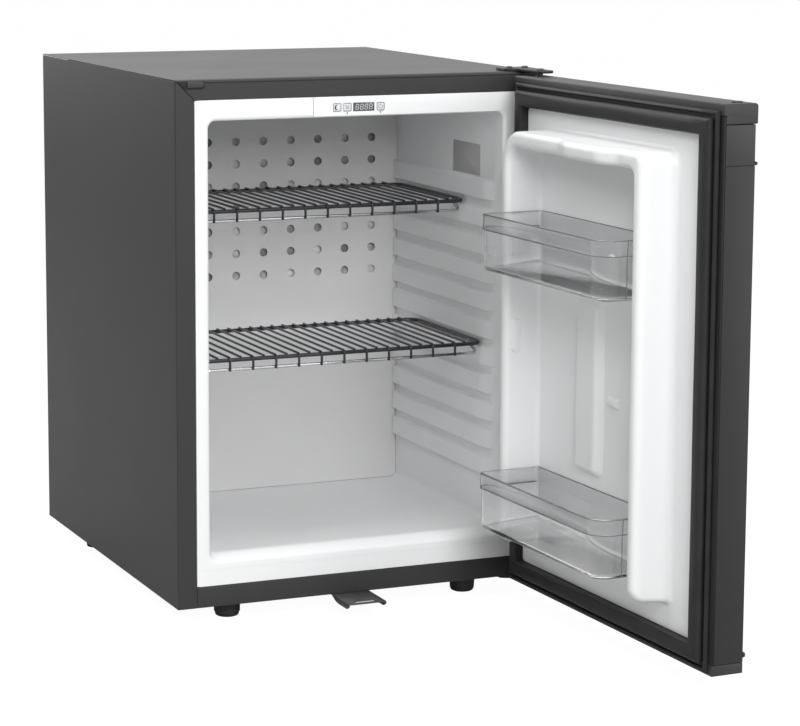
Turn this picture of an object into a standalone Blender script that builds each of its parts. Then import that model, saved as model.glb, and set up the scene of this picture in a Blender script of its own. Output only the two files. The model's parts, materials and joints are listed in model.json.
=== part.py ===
"""Compact minibar fridge: a freestanding absorption refrigerator with its door standing open.

Design frame while modelling: X = 0 on the left outer face, Y = 0 on the cabinet's front face,
+Y towards the back, Z = 0 on the cabinet's underside. Door pieces are modelled as if the door
were shut, and the door's empty then swings them open. At the end everything is moved so that
the origin lies at the bottom centre of the whole fridge. Metres.
"""
import math

import bmesh
import bpy
from mathutils import Vector

# cabinet, outside
CABINET_WIDTH = 0.402
CABINET_HEIGHT = 0.540
CABINET_DEPTH = 0.459
SHEET = 0.0010                 # painted steel sheet
SILL_RETURN = 0.016            # depth of the front rail's folded shelf
GAP = 0.0003                   # assembly gap between neighbouring pieces
FRAME_WIDTH = 0.0204           # dark frame round the front, sides and top
SILL_RAIL_HEIGHT = 0.0217      # dark frame below the opening

# inner liner
LINER_WALL = 0.0020
FLANGE_LEFT = 0.0154
FLANGE_RIGHT = 0.0190
FLANGE_TOP = 0.0214
FLANGE_BOTTOM = 0.0328
LINER_DEPTH = 0.318
LINER_CORNER = 0.008
SILL_BEVEL = 0.010             # slope of the floor's front lip
SILL_BEVEL_MARGIN = 0.001      # from the side walls
SILL_CORNER = 0.006            # height to which the slope runs into the rounded corners

# shelf runners moulded into the liner's sides
RUNNER_COUNT = 10
RUNNER_PITCH = 0.0297
RUNNER_TOP = 0.402             # upper edge of the highest groove
GROOVE_HEIGHT = 0.0085
PAD_DEPTH = 0.0050
PAD_START = 0.008              # the pads rise between these two depths
PAD_FULL = 0.042
PAD_END_HEIGHT = 0.0212

# insulation and rear wall
FOAM_WALL = 0.046              # foam behind the liner
FOAM_ROOM = 0.002              # round the board and the foot studs
BOARD_POCKET = 0.014
BASE_SHORT = 0.004             # underside sheet, short of the side panels' back edges

# perforated panel at the back of the compartment
BACK_PANEL_SPACE = 0.043       # room for the evaporator behind it
BACK_PANEL_SHEET = 0.0012
HOLE_COLUMNS = 9
HOLE_ROWS = 7
HOLE_PITCH_X = 0.0328
HOLE_PITCH_Z = 0.0251
HOLE_RADIUS = 0.00475
HOLE_TOP_ROW = 0.4496

# evaporator behind that panel
FIN_COUNT = 14
FIN_THICKNESS = 0.0010
FIN_DEPTH = 0.026
EVAPORATOR_WIDTH = 0.150
EVAPORATOR_BOTTOM = 0.335
EVAPORATOR_HEIGHT = 0.120
EVAPORATOR_PLATE = 0.003
EVAPORATOR_TUBE_RADIUS = 0.006
SENSOR_ABOVE = 0.030           # temperature sensor above the evaporator's lower edge

# control fascia above the opening
FASCIA_LEFT = 0.1478
FASCIA_THICKNESS = 0.0022
FASCIA_ABOVE = 0.0012          # from the opening's upper edge
BOARD_CLEARANCE = 0.0009       # behind a pressed button
BOARD_THICKNESS = 0.0016
BOARD_MARGIN = 0.0010          # above and below the buttons
BUTTON_TRAVEL = 0.0008
BUTTON_DEPTH = 0.0038
BUTTON_CORNER = 0.0012
BUTTON_BOTTOM = 0.5040
BUTTON_HEIGHT = 0.0083
BUTTONS = (("button_eco", 0.1698, 0.0089), ("button_temperature", 0.1810, 0.0089),
           ("button_power", 0.2181, 0.0084))
DISPLAY_LEFT = 0.1922
DISPLAY_WIDTH = 0.0230
DISPLAY_SET_BACK = 0.0002

# wire shelves
SHELF_DEPTH = 0.180
SHELF_FRAME_RADIUS = 0.00215
SHELF_WIRE_RADIUS = 0.0013
SHELF_WIRE_PITCH = 0.01275
SHELF_CORNER = 0.014
LIP_RADIUS = 0.0017
LIP_DROP = 0.010
LIP_BEND = 0.004
UPPER_SHELF_Y = 0.0858         # front of each shelf at rest
LOWER_SHELF_Y = 0.0398
UPPER_SHELF_GROOVE = 0         # groove counted from the top
LOWER_SHELF_GROOVE = 5

# feet
FOOT_HEIGHT = 0.020
FOOT_RADIUS = 0.0137
FOOT_INSET_X = 0.066
FOOT_FRONT_Y = 0.036
REAR_FOOT_INSET_X = 0.030
REAR_FOOT_BEHIND = 0.008       # behind the foam's back
REAR_FOOT_RADIUS = 0.0110
FOOT_STUD_RADIUS = 0.004
FOOT_STUD_LENGTH = 0.016

# door
DOOR_GAP = 0.010               # cabinet front to the door's inner face
DOOR_THICKNESS = 0.034
DOOR_BOTTOM = 0.003
DOOR_TOP = 0.537
DOOR_SHEET = 0.0008
HINGE_INSET_X = 0.014          # hinge axis from the right outer face
HINGE_FORWARD = 0.032          # hinge axis in front of the cabinet
DOOR_OPEN_DEG = 91.8
CAP_PROUD = 0.0025             # caps and trim strips stand proud of the outer face
TOP_CAP_HEIGHT = 0.019
BOTTOM_CAP_HEIGHT = 0.010
DOOR_FRAME_WIDTH = 0.030
DOOR_FRAME_THICKNESS = 0.0018
GASKET_OUTER = 0.012           # margins from the door's edge
GASKET_INNER = 0.030
GASKET_HEIGHT = 0.0092
INSERT_WIDTH = 0.009
TRIM_TOP = (0.480, 0.484)
TRIM_BOTTOM = (0.0175, 0.0230)
LINER_SHEET = 0.0018
LOCK_HOUSING_X = 0.017
LOCK_HOUSING_TOP = 0.052
LOCK_HOUSING_DEPTH = 0.016
CYLINDER_Z = 0.040
CYLINDER_LENGTH = 0.012
INNER_CAP_BOTTOM = 0.526       # lower edge of the top cap, seen from inside
PLUG_RADIUS = 0.0040
PLUG_FLANGE = 0.0015

# hinges
PIN_RADIUS = 0.0030
BUSH_CLEARANCE = 0.0002
BUSH_WALL = 0.0022
HINGE_PLATE = 0.0027
HINGE_PLATE_WIDTH = 0.034
HINGE_PLATE_BACK = 0.030
HINGE_PLATE_REACH = 0.014      # past the pin
HINGE_PLATE_OUTSIDE = 0.012    # from the pin towards the side
BUSH_LENGTH = 0.0125
SCREW_SHANK = 0.0018
SCREW_HEAD = 0.0040
SCREW_CROWN = 0.0028
SCREW_HEAD_HEIGHT = 0.0016
SCREW_Y = 0.012
SCREW_SPREAD = (-0.014, 0.004)  # from the pin's X

# door liner, heights d are measured from its flat surface towards the cabinet
DYKE_HEIGHT = 0.040
DYKE_WALL = 0.0020
COLUMN_FREE = (0.074, 0.094)   # foot edges of the free-side column, from the free edge
COLUMN_HINGE_FROM = (0.061, 0.042)  # foot edges of the other column, from the hinge edge
COLUMN_SLOPE = 0.005
DYKE_BOTTOM = 0.0485
DYKE_BOTTOM_SLOPE = 0.010
CROSSBAR = (0.470, 0.487)
BUMP_FROM = (0.040, 0.129)     # from the free-side column's inner edge
BUMP_HEIGHT = 0.009
RIB_FROM = (0.115, 0.161)
RIB_Z = (0.148, 0.325)
RIB_HEIGHT = 0.008
RIB_SLOPE = 0.006
WEDGE_FROM = (0.083, 0.104)
WEDGE_Z = 0.231
LUG_D = (0.023, 0.033)
LUG_REACH = 0.0025
LUG_HEIGHT = 0.034

# door bins
BIN_WALL = 0.0016
BIN_DEPTH = 0.070
BIN_FLOOR_GAP = 0.0005
RIM_PROUD = 0.0015
RIM_HEIGHT = 0.0165
BIN_FREE_CORNER = 0.020
BIN_HINGE_CORNER = 0.007
BIN_BACK_CORNER = 0.002
BIN_BOTTOM_EDGE = (0.0050, 0.0015)     # insets of the floor and of the bevel above it
BIN_BEVEL_HEIGHT = 0.0012
UPPER_BIN_Z = (0.3455, 0.4040)
LOWER_BIN_Z = (0.0780, 0.1370)
BINS = (("upper_bin", *UPPER_BIN_Z), ("lower_bin", *LOWER_BIN_Z))
MIDDLE_LUG_TOP = 0.293

# door lock
LOCK_ASIDE = 0.010             # from the middle, towards the free edge
BOLT_WIDTH = 0.018
BOLT_THICKNESS = 0.0032
BOLT_LENGTH = 0.022
BOLT_THROW = 0.006
BOLT_ENGAGEMENT = 0.0015       # below the cabinet's underside when thrown
STRIKE_WIDTH = 0.042
STRIKE_REACH = 0.0445
STRIKE_BACK = 0.014            # behind the cabinet's front
STRIKE_LIP = 0.006
STRIKE_SLOT_WIDTH = 0.023
STRIKE_SLOT_DEPTH = 0.005
STRIKE_SLOT_CORNER = 0.0024
STRIKE_SLOT_FORWARD = 0.037
CYLINDER_RADIUS = 0.0070
KEYWAY = (0.0008, 0.0035, 0.006)  # half width, half height, depth

# cooling unit
BOILER_SIZE = (0.078, 0.060, 0.250)
VESSEL_RADIUS = 0.024
VESSEL_LENGTH = 0.184
RETURN_BEND = 0.012
COIL_TUBE_RADIUS = 0.0055
COIL_TURNS = 5
COIL_PITCH = 0.030
COIL_STUB = 0.030              # upright end that meets the evaporator's tube
TUBE_BEND = 0.018
CONDENSER_TUBE_RADIUS = 0.0060
CONDENSER_FINS = 22
CONDENSER_OVERHANG = 0.012     # past the brackets
CONDENSER_RETURN = 0.024       # between the two runs of tube
CONDENSER_BEND = 0.010
CONDENSER_FIN = (0.0008, 0.052, 0.060)

# rear compartment: everything hangs on two upright brackets
BRACKET_DEPTH = 0.0344         # from the rear panel to the brackets' rear edge
BRACKET_X = (0.060, 0.338)
BRACKET_SHEET = 0.0018
BRACKET_FOOT = 0.016           # width of the flange on the rear panel
BRACKET_Z = (0.062, 0.500)
STRAP_Z = (0.346, 0.370)
BOILER_BOTTOM = 0.090
VESSEL_Z = 0.072
VESSEL_LEFT = 0.054
COIL_X = (0.052, 0.232)
COIL_TOP = 0.290
CONDENSER_Z = 0.468
ELECTRICS_X = (0.292, 0.372)
ELECTRICS_Z = (0.010, 0.060)
ELECTRICS_DEPTH = 0.068
INLET_SIZE = (0.030, 0.022)
INLET_DEPTH = 0.015
INLET_WALL = 0.0025

# corner cap of the unused hinge position
CORNER_CAP_X = (0.0127, 0.0303)
CORNER_CAP_Z = (0.5319, 0.5383)

FINISHES = {
    "dark_paint": ((0.070, 0.071, 0.075), 0.42, 0.0),
    "dark_plastic": ((0.035, 0.035, 0.037), 0.50, 0.0),
    "white_plastic": ((0.78, 0.79, 0.80), 0.35, 0.0),
    "grey_plastic": ((0.60, 0.61, 0.62), 0.40, 0.0),
    "clear_plastic": ((0.72, 0.75, 0.77), 0.12, 0.0),
    "rubber": ((0.020, 0.020, 0.021), 0.65, 0.0),
    "wire": ((0.10, 0.10, 0.11), 0.30, 0.6),
    "steel": ((0.55, 0.55, 0.56), 0.35, 1.0),
    "zinc": ((0.62, 0.63, 0.64), 0.45, 1.0),
    "aluminium": ((0.72, 0.73, 0.74), 0.40, 1.0),
    "black_paint": ((0.020, 0.020, 0.022), 0.55, 0.0),
    "foam": ((0.80, 0.76, 0.62), 0.90, 0.0),
    "board": ((0.05, 0.22, 0.10), 0.55, 0.0),
    "display": ((0.015, 0.018, 0.020), 0.10, 0.0),
}


def clear_scene():
    for old in list(bpy.data.objects):
        bpy.data.objects.remove(old, do_unlink=True)


def finish_material(name, finish):
    colour, roughness, metallic = FINISHES[finish]
    material = bpy.data.materials.new(name)
    material.use_nodes = True
    shader = material.node_tree.nodes["Principled BSDF"]
    shader.inputs["Base Color"].default_value = (*colour, 1.0)
    shader.inputs["Roughness"].default_value = roughness
    shader.inputs["Metallic"].default_value = metallic
    return material


def make(name, bm, finish=None, smooth=False):
    """Turn a bmesh into a named object with outward faces."""
    bmesh.ops.recalc_face_normals(bm, faces=bm.faces)
    mesh = bpy.data.meshes.new(name)
    bm.to_mesh(mesh)
    bm.free()
    obj = bpy.data.objects.new(name, mesh)
    bpy.context.scene.collection.objects.link(obj)
    if finish:
        dress(obj, finish, smooth)
    return obj


def dress(obj, finish, smooth=False):
    obj.data.materials.clear()
    obj.data.materials.append(finish_material(obj.name, finish))
    if smooth:
        obj.data.shade_smooth()
        obj.data.set_sharp_from_angle(angle=math.radians(32))


def prism(outline, low, high, axis="Z"):
    """Extrude an outline between two heights along an axis; the outline is in the other two."""
    def place(u, v, w):
        return {"X": (w, u, v), "Y": (u, w, v), "Z": (u, v, w)}[axis]
    bm = bmesh.new()
    bottom = [bm.verts.new(place(u, v, low)) for u, v in outline]
    top = [bm.verts.new(place(u, v, high)) for u, v in outline]
    bm.faces.new(bottom)
    bm.faces.new(reversed(top))
    count = len(outline)
    for i in range(count):
        j = (i + 1) % count
        bm.faces.new((bottom[i], bottom[j], top[j], top[i]))
    return bm


def box(x, y, z):
    """A box from three (low, high) pairs."""
    return prism([(x[0], y[0]), (x[1], y[0]), (x[1], y[1]), (x[0], y[1])], z[0], z[1])


def arc(centre, radius, start_deg, end_deg, steps):
    angles = [math.radians(start_deg + (end_deg - start_deg) * i / steps) for i in range(steps + 1)]
    return [(centre[0] + radius * math.cos(a), centre[1] + radius * math.sin(a)) for a in angles]


def circle(centre, radius, sides, turn_deg=0.0):
    return arc(centre, radius, turn_deg, turn_deg + 360.0 - 360.0 / sides, sides - 1)


def rounded(u, v, radii, steps=4):
    """Rounded rectangle outline; radii go round from the low corner, counter-clockwise."""
    if not isinstance(radii, tuple):
        radii = (radii,) * 4
    corners = ((u[0], v[0], 1, 1, 180), (u[1], v[0], -1, 1, 270),
               (u[1], v[1], -1, -1, 0), (u[0], v[1], 1, -1, 90))
    points = []
    for (cu, cv, su, sv, start), radius in zip(corners, radii):
        if radius <= 0:
            points.append((cu, cv))
        else:
            points += arc((cu + su * radius, cv + sv * radius), radius, start, start + 90, steps)
    return points


def fillet(points, radius, steps=4):
    """Round the inner corners of a 3-D path."""
    path = [Vector(points[0])]
    for before, corner, after in zip(points, points[1:], points[2:]):
        corner = Vector(corner)
        back = (Vector(before) - corner).normalized()
        onward = (Vector(after) - corner).normalized()
        half = back.angle(onward) / 2
        reach = radius / math.tan(half)
        middle = corner + (back + onward).normalized() * (radius / math.sin(half))
        first = (corner + back * reach - middle).normalized()
        last = (corner + onward * reach - middle).normalized()
        for i in range(steps + 1):
            path.append(middle + first.slerp(last, i / steps) * radius)
    path.append(Vector(points[-1]))
    return path


def tube(path, radius, sides=6, closed=False, turn_deg=0.0):
    """Sweep a round section along a path, with flat ends unless it is closed."""
    path = [Vector(p) for p in path]
    count = len(path)
    bm = bmesh.new()
    rings = []
    across = None
    for i, point in enumerate(path):
        ahead = path[(i + 1) % count] if closed or i + 1 < count else None
        behind = path[i - 1] if closed or i > 0 else None
        forward = (ahead - point).normalized() if ahead else (point - behind).normalized()
        backward = (point - behind).normalized() if behind else forward
        tangent = (forward + backward).normalized()
        if across is None:
            guide = Vector((0, 0, 1)) if abs(tangent.z) < 0.9 else Vector((0, 1, 0))
            across = tangent.cross(guide).normalized()
        across = (across - tangent * across.dot(tangent)).normalized()
        other = tangent.cross(across)
        stretch = 1.0 / max(0.5, math.cos(forward.angle(backward, 0.0) / 2))
        bend = forward - backward
        bend = bend.normalized() if bend.length > 1e-6 else None
        ring = []
        for k in range(sides):
            angle = math.radians(turn_deg) + 2 * math.pi * k / sides
            arm = across * math.cos(angle) * radius + other * math.sin(angle) * radius
            if bend:
                arm += bend * arm.dot(bend) * (stretch - 1.0)
            ring.append(bm.verts.new(point + arm))
        rings.append(ring)
    pairs = list(zip(rings, rings[1:]))
    if closed:
        pairs.append((rings[-1], rings[0]))
    for ring, following in pairs:
        for k in range(sides):
            m = (k + 1) % sides
            bm.faces.new((ring[k], ring[m], following[m], following[k]))
    if not closed:
        bm.faces.new(reversed(rings[0]))
        bm.faces.new(rings[-1])
    return bm


def turned(profile, sides, centre=(0.0, 0.0)):
    """Turn a (radius, height) profile about a vertical axis; it starts and ends on the axis."""
    bm = bmesh.new()
    rings = []
    for radius, height in profile:
        if radius == 0.0:
            rings.append([bm.verts.new((centre[0], centre[1], height))])
        else:
            rings.append([bm.verts.new((x, y, height)) for x, y in circle(centre, radius, sides)])
    for ring, following in zip(rings, rings[1:]):
        for k in range(sides):
            m = (k + 1) % sides
            if len(ring) == 1:
                bm.faces.new((ring[0], following[k], following[m]))
            elif len(following) == 1:
                bm.faces.new((ring[k], ring[m], following[0]))
            else:
                bm.faces.new((ring[k], ring[m], following[m], following[k]))
    return bm


def join(*pieces):
    """Put separate solids into one bmesh, as one cutter."""
    whole = bmesh.new()
    for bm in pieces:
        bmesh.ops.recalc_face_normals(bm, faces=bm.faces)
        mesh = bpy.data.meshes.new("piece")
        bm.to_mesh(mesh)
        bm.free()
        whole.from_mesh(mesh)
        bpy.data.meshes.remove(mesh)
    return whole


def carve(obj, operation, tools):
    """Cut or fuse other solids with an object and keep the result as its mesh."""
    group = bpy.data.collections.new("tools")
    bpy.context.scene.collection.children.link(group)
    made = []
    for bm in tools:
        bmesh.ops.recalc_face_normals(bm, faces=bm.faces)
        mesh = bpy.data.meshes.new("tool")
        bm.to_mesh(mesh)
        bm.free()
        tool = bpy.data.objects.new("tool", mesh)
        group.objects.link(tool)
        made.append(tool)
    modifier = obj.modifiers.new("carve", "BOOLEAN")
    modifier.operation = operation
    modifier.operand_type = "COLLECTION"
    modifier.collection = group
    modifier.solver = "EXACT"
    depsgraph = bpy.context.evaluated_depsgraph_get()
    result = bpy.data.meshes.new_from_object(obj.evaluated_get(depsgraph))
    obj.modifiers.clear()
    spent = obj.data
    obj.data = result
    bpy.data.meshes.remove(spent)
    for tool in made:
        spent = tool.data
        bpy.data.objects.remove(tool, do_unlink=True)
        bpy.data.meshes.remove(spent)
    bpy.data.collections.remove(group)


def cut(obj, *tools):
    carve(obj, "DIFFERENCE", tools)


def fuse(obj, *tools):
    carve(obj, "UNION", tools)


def solid(name, finish, body, add=(), remove=(), smooth=False):
    """One piece: a body with solids fused on and then cut away."""
    obj = make(name, body)
    if add:
        fuse(obj, *add)
    if remove:
        cut(obj, *remove)
    dress(obj, finish, smooth)
    return obj


def grown(span, margin):
    return (span[0] - margin, span[1] + margin)


# places that several pieces share
W, H, D = CABINET_WIDTH, CABINET_HEIGHT, CABINET_DEPTH
BACK_PANEL_Y = LINER_DEPTH - BACK_PANEL_SPACE
BOARD_Y = BUTTON_DEPTH + BUTTON_TRAVEL + BOARD_CLEARANCE
BOLT_REST = BOLT_THROW - BOLT_ENGAGEMENT
FOAM_BACK = LINER_DEPTH + FOAM_WALL
COLUMN_HINGE = (W - COLUMN_HINGE_FROM[0], W - COLUMN_HINGE_FROM[1])
LOCK_CENTRE_X = W / 2 - LOCK_ASIDE
PIVOT_X = W - HINGE_INSET_X
PIVOT_Y = -HINGE_FORWARD
OPEN_X = (FRAME_WIDTH + FLANGE_LEFT, W - FRAME_WIDTH - FLANGE_RIGHT)
OPEN_Z = (SILL_RAIL_HEIGHT + FLANGE_BOTTOM, H - FRAME_WIDTH - FLANGE_TOP)
FLANGE_X = (FRAME_WIDTH + GAP, W - FRAME_WIDTH - GAP)
FLANGE_Z = (SILL_RAIL_HEIGHT + GAP, H - FRAME_WIDTH - GAP)
INNER_X = (SHEET + GAP, W - SHEET - GAP)       # inside the outer sheets
INNER_Z = (SHEET + GAP, H - SHEET - GAP)
DOOR_IN = -DOOR_GAP
DOOR_OUT = -DOOR_GAP - DOOR_THICKNESS
PAN_Z = (DOOR_BOTTOM + BOTTOM_CAP_HEIGHT, DOOR_TOP - TOP_CAP_HEIGHT)
FOAM_FACE_OUT = DOOR_IN - DOOR_FRAME_THICKNESS - 2 * GAP   # back of the pan's returns
LINER_Z = (DOOR_BOTTOM + GASKET_INNER, DOOR_TOP - GASKET_INNER)
BUSH_RADIUS = PIN_RADIUS + BUSH_CLEARANCE + BUSH_WALL
UNIT_FRONT = FOAM_BACK + SHEET + 2 * GAP       # behind the rear panel
BRACKET_EDGE = UNIT_FRONT + BRACKET_DEPTH
UNIT_Y = BRACKET_EDGE + GAP
REAR_FOOT_Y = FOAM_BACK + REAR_FOOT_BEHIND
THROUGH = 0.002                                # how far a cutter runs past a face


def side_panel(name, left):
    """Folded sheet: the side wall and the front stile, mitred against the rails."""
    mitre = GAP * math.sqrt(2)
    top = H - SHEET - GAP
    stile = [(0, 0), (FRAME_WIDTH, 0), (FRAME_WIDTH, H - FRAME_WIDTH - mitre), (H - top - mitre, top),
             (0, top)]
    wall = (0, SHEET)
    if not left:
        stile = [(W - x, z) for x, z in stile]
        wall = (W - SHEET, W)
    return solid(name, "dark_paint", prism(stile, 0, SHEET, "Y"),
                 add=[box(wall, (SHEET / 2, D), (0, top))])


def top_panel():
    """Folded sheet: the top with the upper rail of the front frame."""
    mitre = GAP * math.sqrt(2)
    lip = [(FRAME_WIDTH + mitre, H - FRAME_WIDTH), (W - FRAME_WIDTH - mitre, H - FRAME_WIDTH),
           (W - SHEET, H - SHEET / 2), (SHEET, H - SHEET / 2)]
    return solid("top_panel", "dark_paint", box((0, W), (0, D), (H - SHEET, H)),
                 add=[prism(lip, 0, SHEET, "Y")])


def sill_rail():
    """Lower rail of the front frame, between the two stiles."""
    x = (FRAME_WIDTH + GAP, W - FRAME_WIDTH - GAP)
    return solid("sill_rail", "dark_paint", box(x, (0, SHEET), (0, SILL_RAIL_HEIGHT)),
                 add=[box(x, (0, SILL_RETURN), (SILL_RAIL_HEIGHT - SHEET, SILL_RAIL_HEIGHT))])


def rear_panel():
    y = (FOAM_BACK + GAP, FOAM_BACK + GAP + SHEET)
    return solid("rear_panel", "zinc", box(INNER_X, y, INNER_Z), remove=[tube_hole(y)])


def tube_hole(y):
    """Passage of the evaporator's tube through a wall, with running room."""
    x = W / 2 - EVAPORATOR_WIDTH / 3
    z = EVAPORATOR_BOTTOM + EVAPORATOR_HEIGHT / 2
    return prism(circle((x, z), EVAPORATOR_TUBE_RADIUS + GAP * 2, 12), *grown(y, THROUGH), "Y")


def base_panel():
    """Underside sheet with clear holes for the foot studs."""
    z = (0, SHEET)
    holes = [prism(circle(place, FOOT_STUD_RADIUS + GAP, 12), *grown(z, THROUGH)) for place in foot_places()]
    return solid("base_panel", "zinc", box(INNER_X, (SHEET + GAP, D - BASE_SHORT), z), remove=holes)


def foot_places():
    return ((FOOT_INSET_X, FOOT_FRONT_Y), (W - FOOT_INSET_X, FOOT_FRONT_Y))


def liner_outline(margin):
    """Section of the compartment across Y, moved out by a margin."""
    return rounded(grown(OPEN_X, margin), grown(OPEN_Z, margin), LINER_CORNER + margin, 3)


def inner_liner():
    """Moulded compartment with shelf runners on both sides."""
    flange = box(FLANGE_X, (0, LINER_WALL), FLANGE_Z)
    tub = prism(liner_outline(LINER_WALL), LINER_WALL / 2, LINER_DEPTH + LINER_WALL, "Y")
    inside = prism(liner_outline(0), -THROUGH, LINER_DEPTH, "Y")
    low, run = OPEN_Z[0], SILL_BEVEL
    span = grown(OPEN_X, -SILL_BEVEL_MARGIN)
    bevel = prism([(-THROUGH, low - run - THROUGH), (run + SILL_CORNER, low + SILL_CORNER),
                   (-THROUGH, low + SILL_CORNER)], *span, "X")
    under = prism([(0, low - run - LINER_WALL), (run + LINER_WALL, low - LINER_WALL),
                   (run + LINER_WALL, low + SILL_CORNER / 2), (0, low + SILL_CORNER / 2)],
                  *grown(span, LINER_WALL), "X")
    liner = make("inner_liner", flange)
    fuse(liner, tub, under)
    cut(liner, inside, bevel, fascia_block(GAP, through=True),
        tube_hole((LINER_DEPTH, LINER_DEPTH + LINER_WALL)))
    fuse(liner, *runner_pads())
    dress(liner, "white_plastic")
    return liner


def groove_top(index):
    return RUNNER_TOP - RUNNER_PITCH * index


def runner_pads():
    """The raised pads between the grooves; their front ends rise out of the wall."""
    spans = []
    for i in range(RUNNER_COUNT - 1):
        spans.append((groove_top(i + 1), groove_top(i) - GROOVE_HEIGHT))
    last = groove_top(RUNNER_COUNT - 1) - GROOVE_HEIGHT
    spans.append((last - PAD_END_HEIGHT, last))
    spans.append((RUNNER_TOP, RUNNER_TOP + PAD_END_HEIGHT))
    back = BACK_PANEL_Y - GAP
    sunk = LINER_WALL / 2
    pads = []
    for z in spans:
        for wall, inward in ((OPEN_X[0], 1), (OPEN_X[1], -1)):
            face = wall + inward * PAD_DEPTH
            outline = [(wall - inward * sunk, PAD_START), (wall, PAD_START), (face, PAD_FULL), (face, back),
                       (wall - inward * sunk, back)]
            pads.append(prism(outline, z[0], z[1]))
    return pads


def fascia_block(margin=0.0, through=False):
    """The control fascia's outline in the flange."""
    x = (FASCIA_LEFT, FLANGE_X[1] + (THROUGH if through else 0))
    z = (OPEN_Z[1] + FASCIA_ABOVE, FLANGE_Z[1] + (THROUGH if through else 0))
    y = (-THROUGH, LINER_WALL + THROUGH) if through else (0, FASCIA_THICKNESS)
    return box((x[0] - margin, x[1]), y, (z[0] - margin, z[1]))


def insulation_foam():
    """Foam between the liner and the outer sheets, with room for the liner and the control board."""
    front = LINER_WALL + GAP
    body = box(INNER_X, (front, FOAM_BACK), (SHEET + GAP, INNER_Z[1]))
    pocket = prism(liner_outline(LINER_WALL + GAP), -THROUGH, LINER_DEPTH + LINER_WALL + GAP, "Y")
    low, run = OPEN_Z[0] - LINER_WALL, SILL_BEVEL + LINER_WALL + GAP
    lip = prism([(-THROUGH, low - run), (0, low - run), (run + GAP, low - GAP),
                 (run + GAP, low + SILL_CORNER), (-THROUGH, low + SILL_CORNER)],
                *grown(OPEN_X, LINER_WALL + GAP), "X")
    board = box(grown(board_span(), FOAM_ROOM), (-THROUGH, BOARD_POCKET),
                (OPEN_Z[1] + LINER_WALL + GAP, FLANGE_Z[1]))
    rail = box(grown(FLANGE_X, FOAM_ROOM / 2), (-THROUGH, SILL_RETURN + GAP),
               (-THROUGH, SILL_RAIL_HEIGHT + GAP))
    stud = FOOT_STUD_RADIUS + FOAM_ROOM / 2
    studs = [prism(circle(place, stud, 10), -THROUGH, FOOT_STUD_LENGTH + FOAM_ROOM)
             for place in foot_places()]
    obj = make("insulation_foam", body)
    cut(obj, pocket, lip, board, rail, tube_hole((LINER_DEPTH, FOAM_BACK)), *studs)
    dress(obj, "foam")
    return obj


def board_span():
    return (BUTTONS[0][1] - 0.004, BUTTONS[-1][1] + BUTTONS[-1][2] + 0.004)


def perforated_back():
    """Sheet with rows of round holes, seated on the back ends of the runner pads."""
    y = (BACK_PANEL_Y, BACK_PANEL_Y + BACK_PANEL_SHEET)
    middle = (OPEN_X[0] + OPEN_X[1]) / 2
    holes = []
    for row in range(HOLE_ROWS):
        for column in range(HOLE_COLUMNS):
            x = middle + (column - (HOLE_COLUMNS - 1) / 2) * HOLE_PITCH_X
            z = HOLE_TOP_ROW - row * HOLE_PITCH_Z
            holes.append(prism(circle((x, z), HOLE_RADIUS, 10), y[0] - THROUGH, y[1] + THROUGH, "Y"))
    return solid("perforated_back", "grey_plastic", prism(liner_outline(-GAP), y[0], y[1], "Y"),
                 remove=[join(*holes)])


def evaporator():
    """Finned aluminium block on the liner's back wall."""
    middle = W / 2
    x = (middle - EVAPORATOR_WIDTH / 2, middle + EVAPORATOR_WIDTH / 2)
    z = (EVAPORATOR_BOTTOM, EVAPORATOR_BOTTOM + EVAPORATOR_HEIGHT)
    back = LINER_DEPTH - GAP
    root = back - EVAPORATOR_PLATE
    outline = [(x[1], back), (x[0], back)]
    pitch = (EVAPORATOR_WIDTH - FIN_THICKNESS) / (FIN_COUNT - 1)
    for i in range(FIN_COUNT):
        start = x[0] + i * pitch
        outline += [(start, root), (start, root - FIN_DEPTH), (start + FIN_THICKNESS, root - FIN_DEPTH),
                    (start + FIN_THICKNESS, root)]
    del outline[2]
    del outline[-1]
    return solid("evaporator", "aluminium", prism(outline, z[0], z[1]))


def tube_place():
    """Where the evaporator's tube passes the rear wall."""
    return (W / 2 - EVAPORATOR_WIDTH / 3, EVAPORATOR_BOTTOM + EVAPORATOR_HEIGHT / 2)


def temperature_sensor():
    x = W / 2 - EVAPORATOR_WIDTH / 2 - 0.012
    z = EVAPORATOR_BOTTOM + SENSOR_ABOVE
    back = LINER_DEPTH - GAP
    clip = box((x - 0.006, x + 0.006), (back - 0.003, back), (z - 0.005, z + 0.005))
    probe = tube([(x, back - 0.005, z - 0.014), (x, back - 0.005, z + 0.014)], 0.003, 8)
    return solid("temperature_sensor", "dark_plastic", clip, add=[probe])


def control_fascia():
    hole = (-THROUGH, FASCIA_THICKNESS + THROUGH)
    z = grown((BUTTON_BOTTOM, BUTTON_BOTTOM + BUTTON_HEIGHT), GAP)
    cuts = [prism(rounded((x - GAP, x + width + GAP), z, BUTTON_CORNER, 2), *hole, "Y")
            for _, x, width in BUTTONS]
    cuts.append(box((DISPLAY_LEFT - GAP, DISPLAY_LEFT + DISPLAY_WIDTH + GAP), hole, z))
    span = board_span()
    bosses = [box((x - 0.0015, x + 0.0015), (FASCIA_THICKNESS / 2, BOARD_Y - GAP), (z[0], z[1]))
              for x in (span[0] + 0.002, span[1] - 0.002)]
    return solid("control_fascia", "white_plastic", fascia_block(), add=bosses, remove=cuts)


def control_board():
    y = (BOARD_Y, BOARD_Y + BOARD_THICKNESS)
    z = grown((BUTTON_BOTTOM, BUTTON_BOTTOM + BUTTON_HEIGHT), BOARD_MARGIN)
    return solid("control_board", "board", box(board_span(), y, z))


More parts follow.
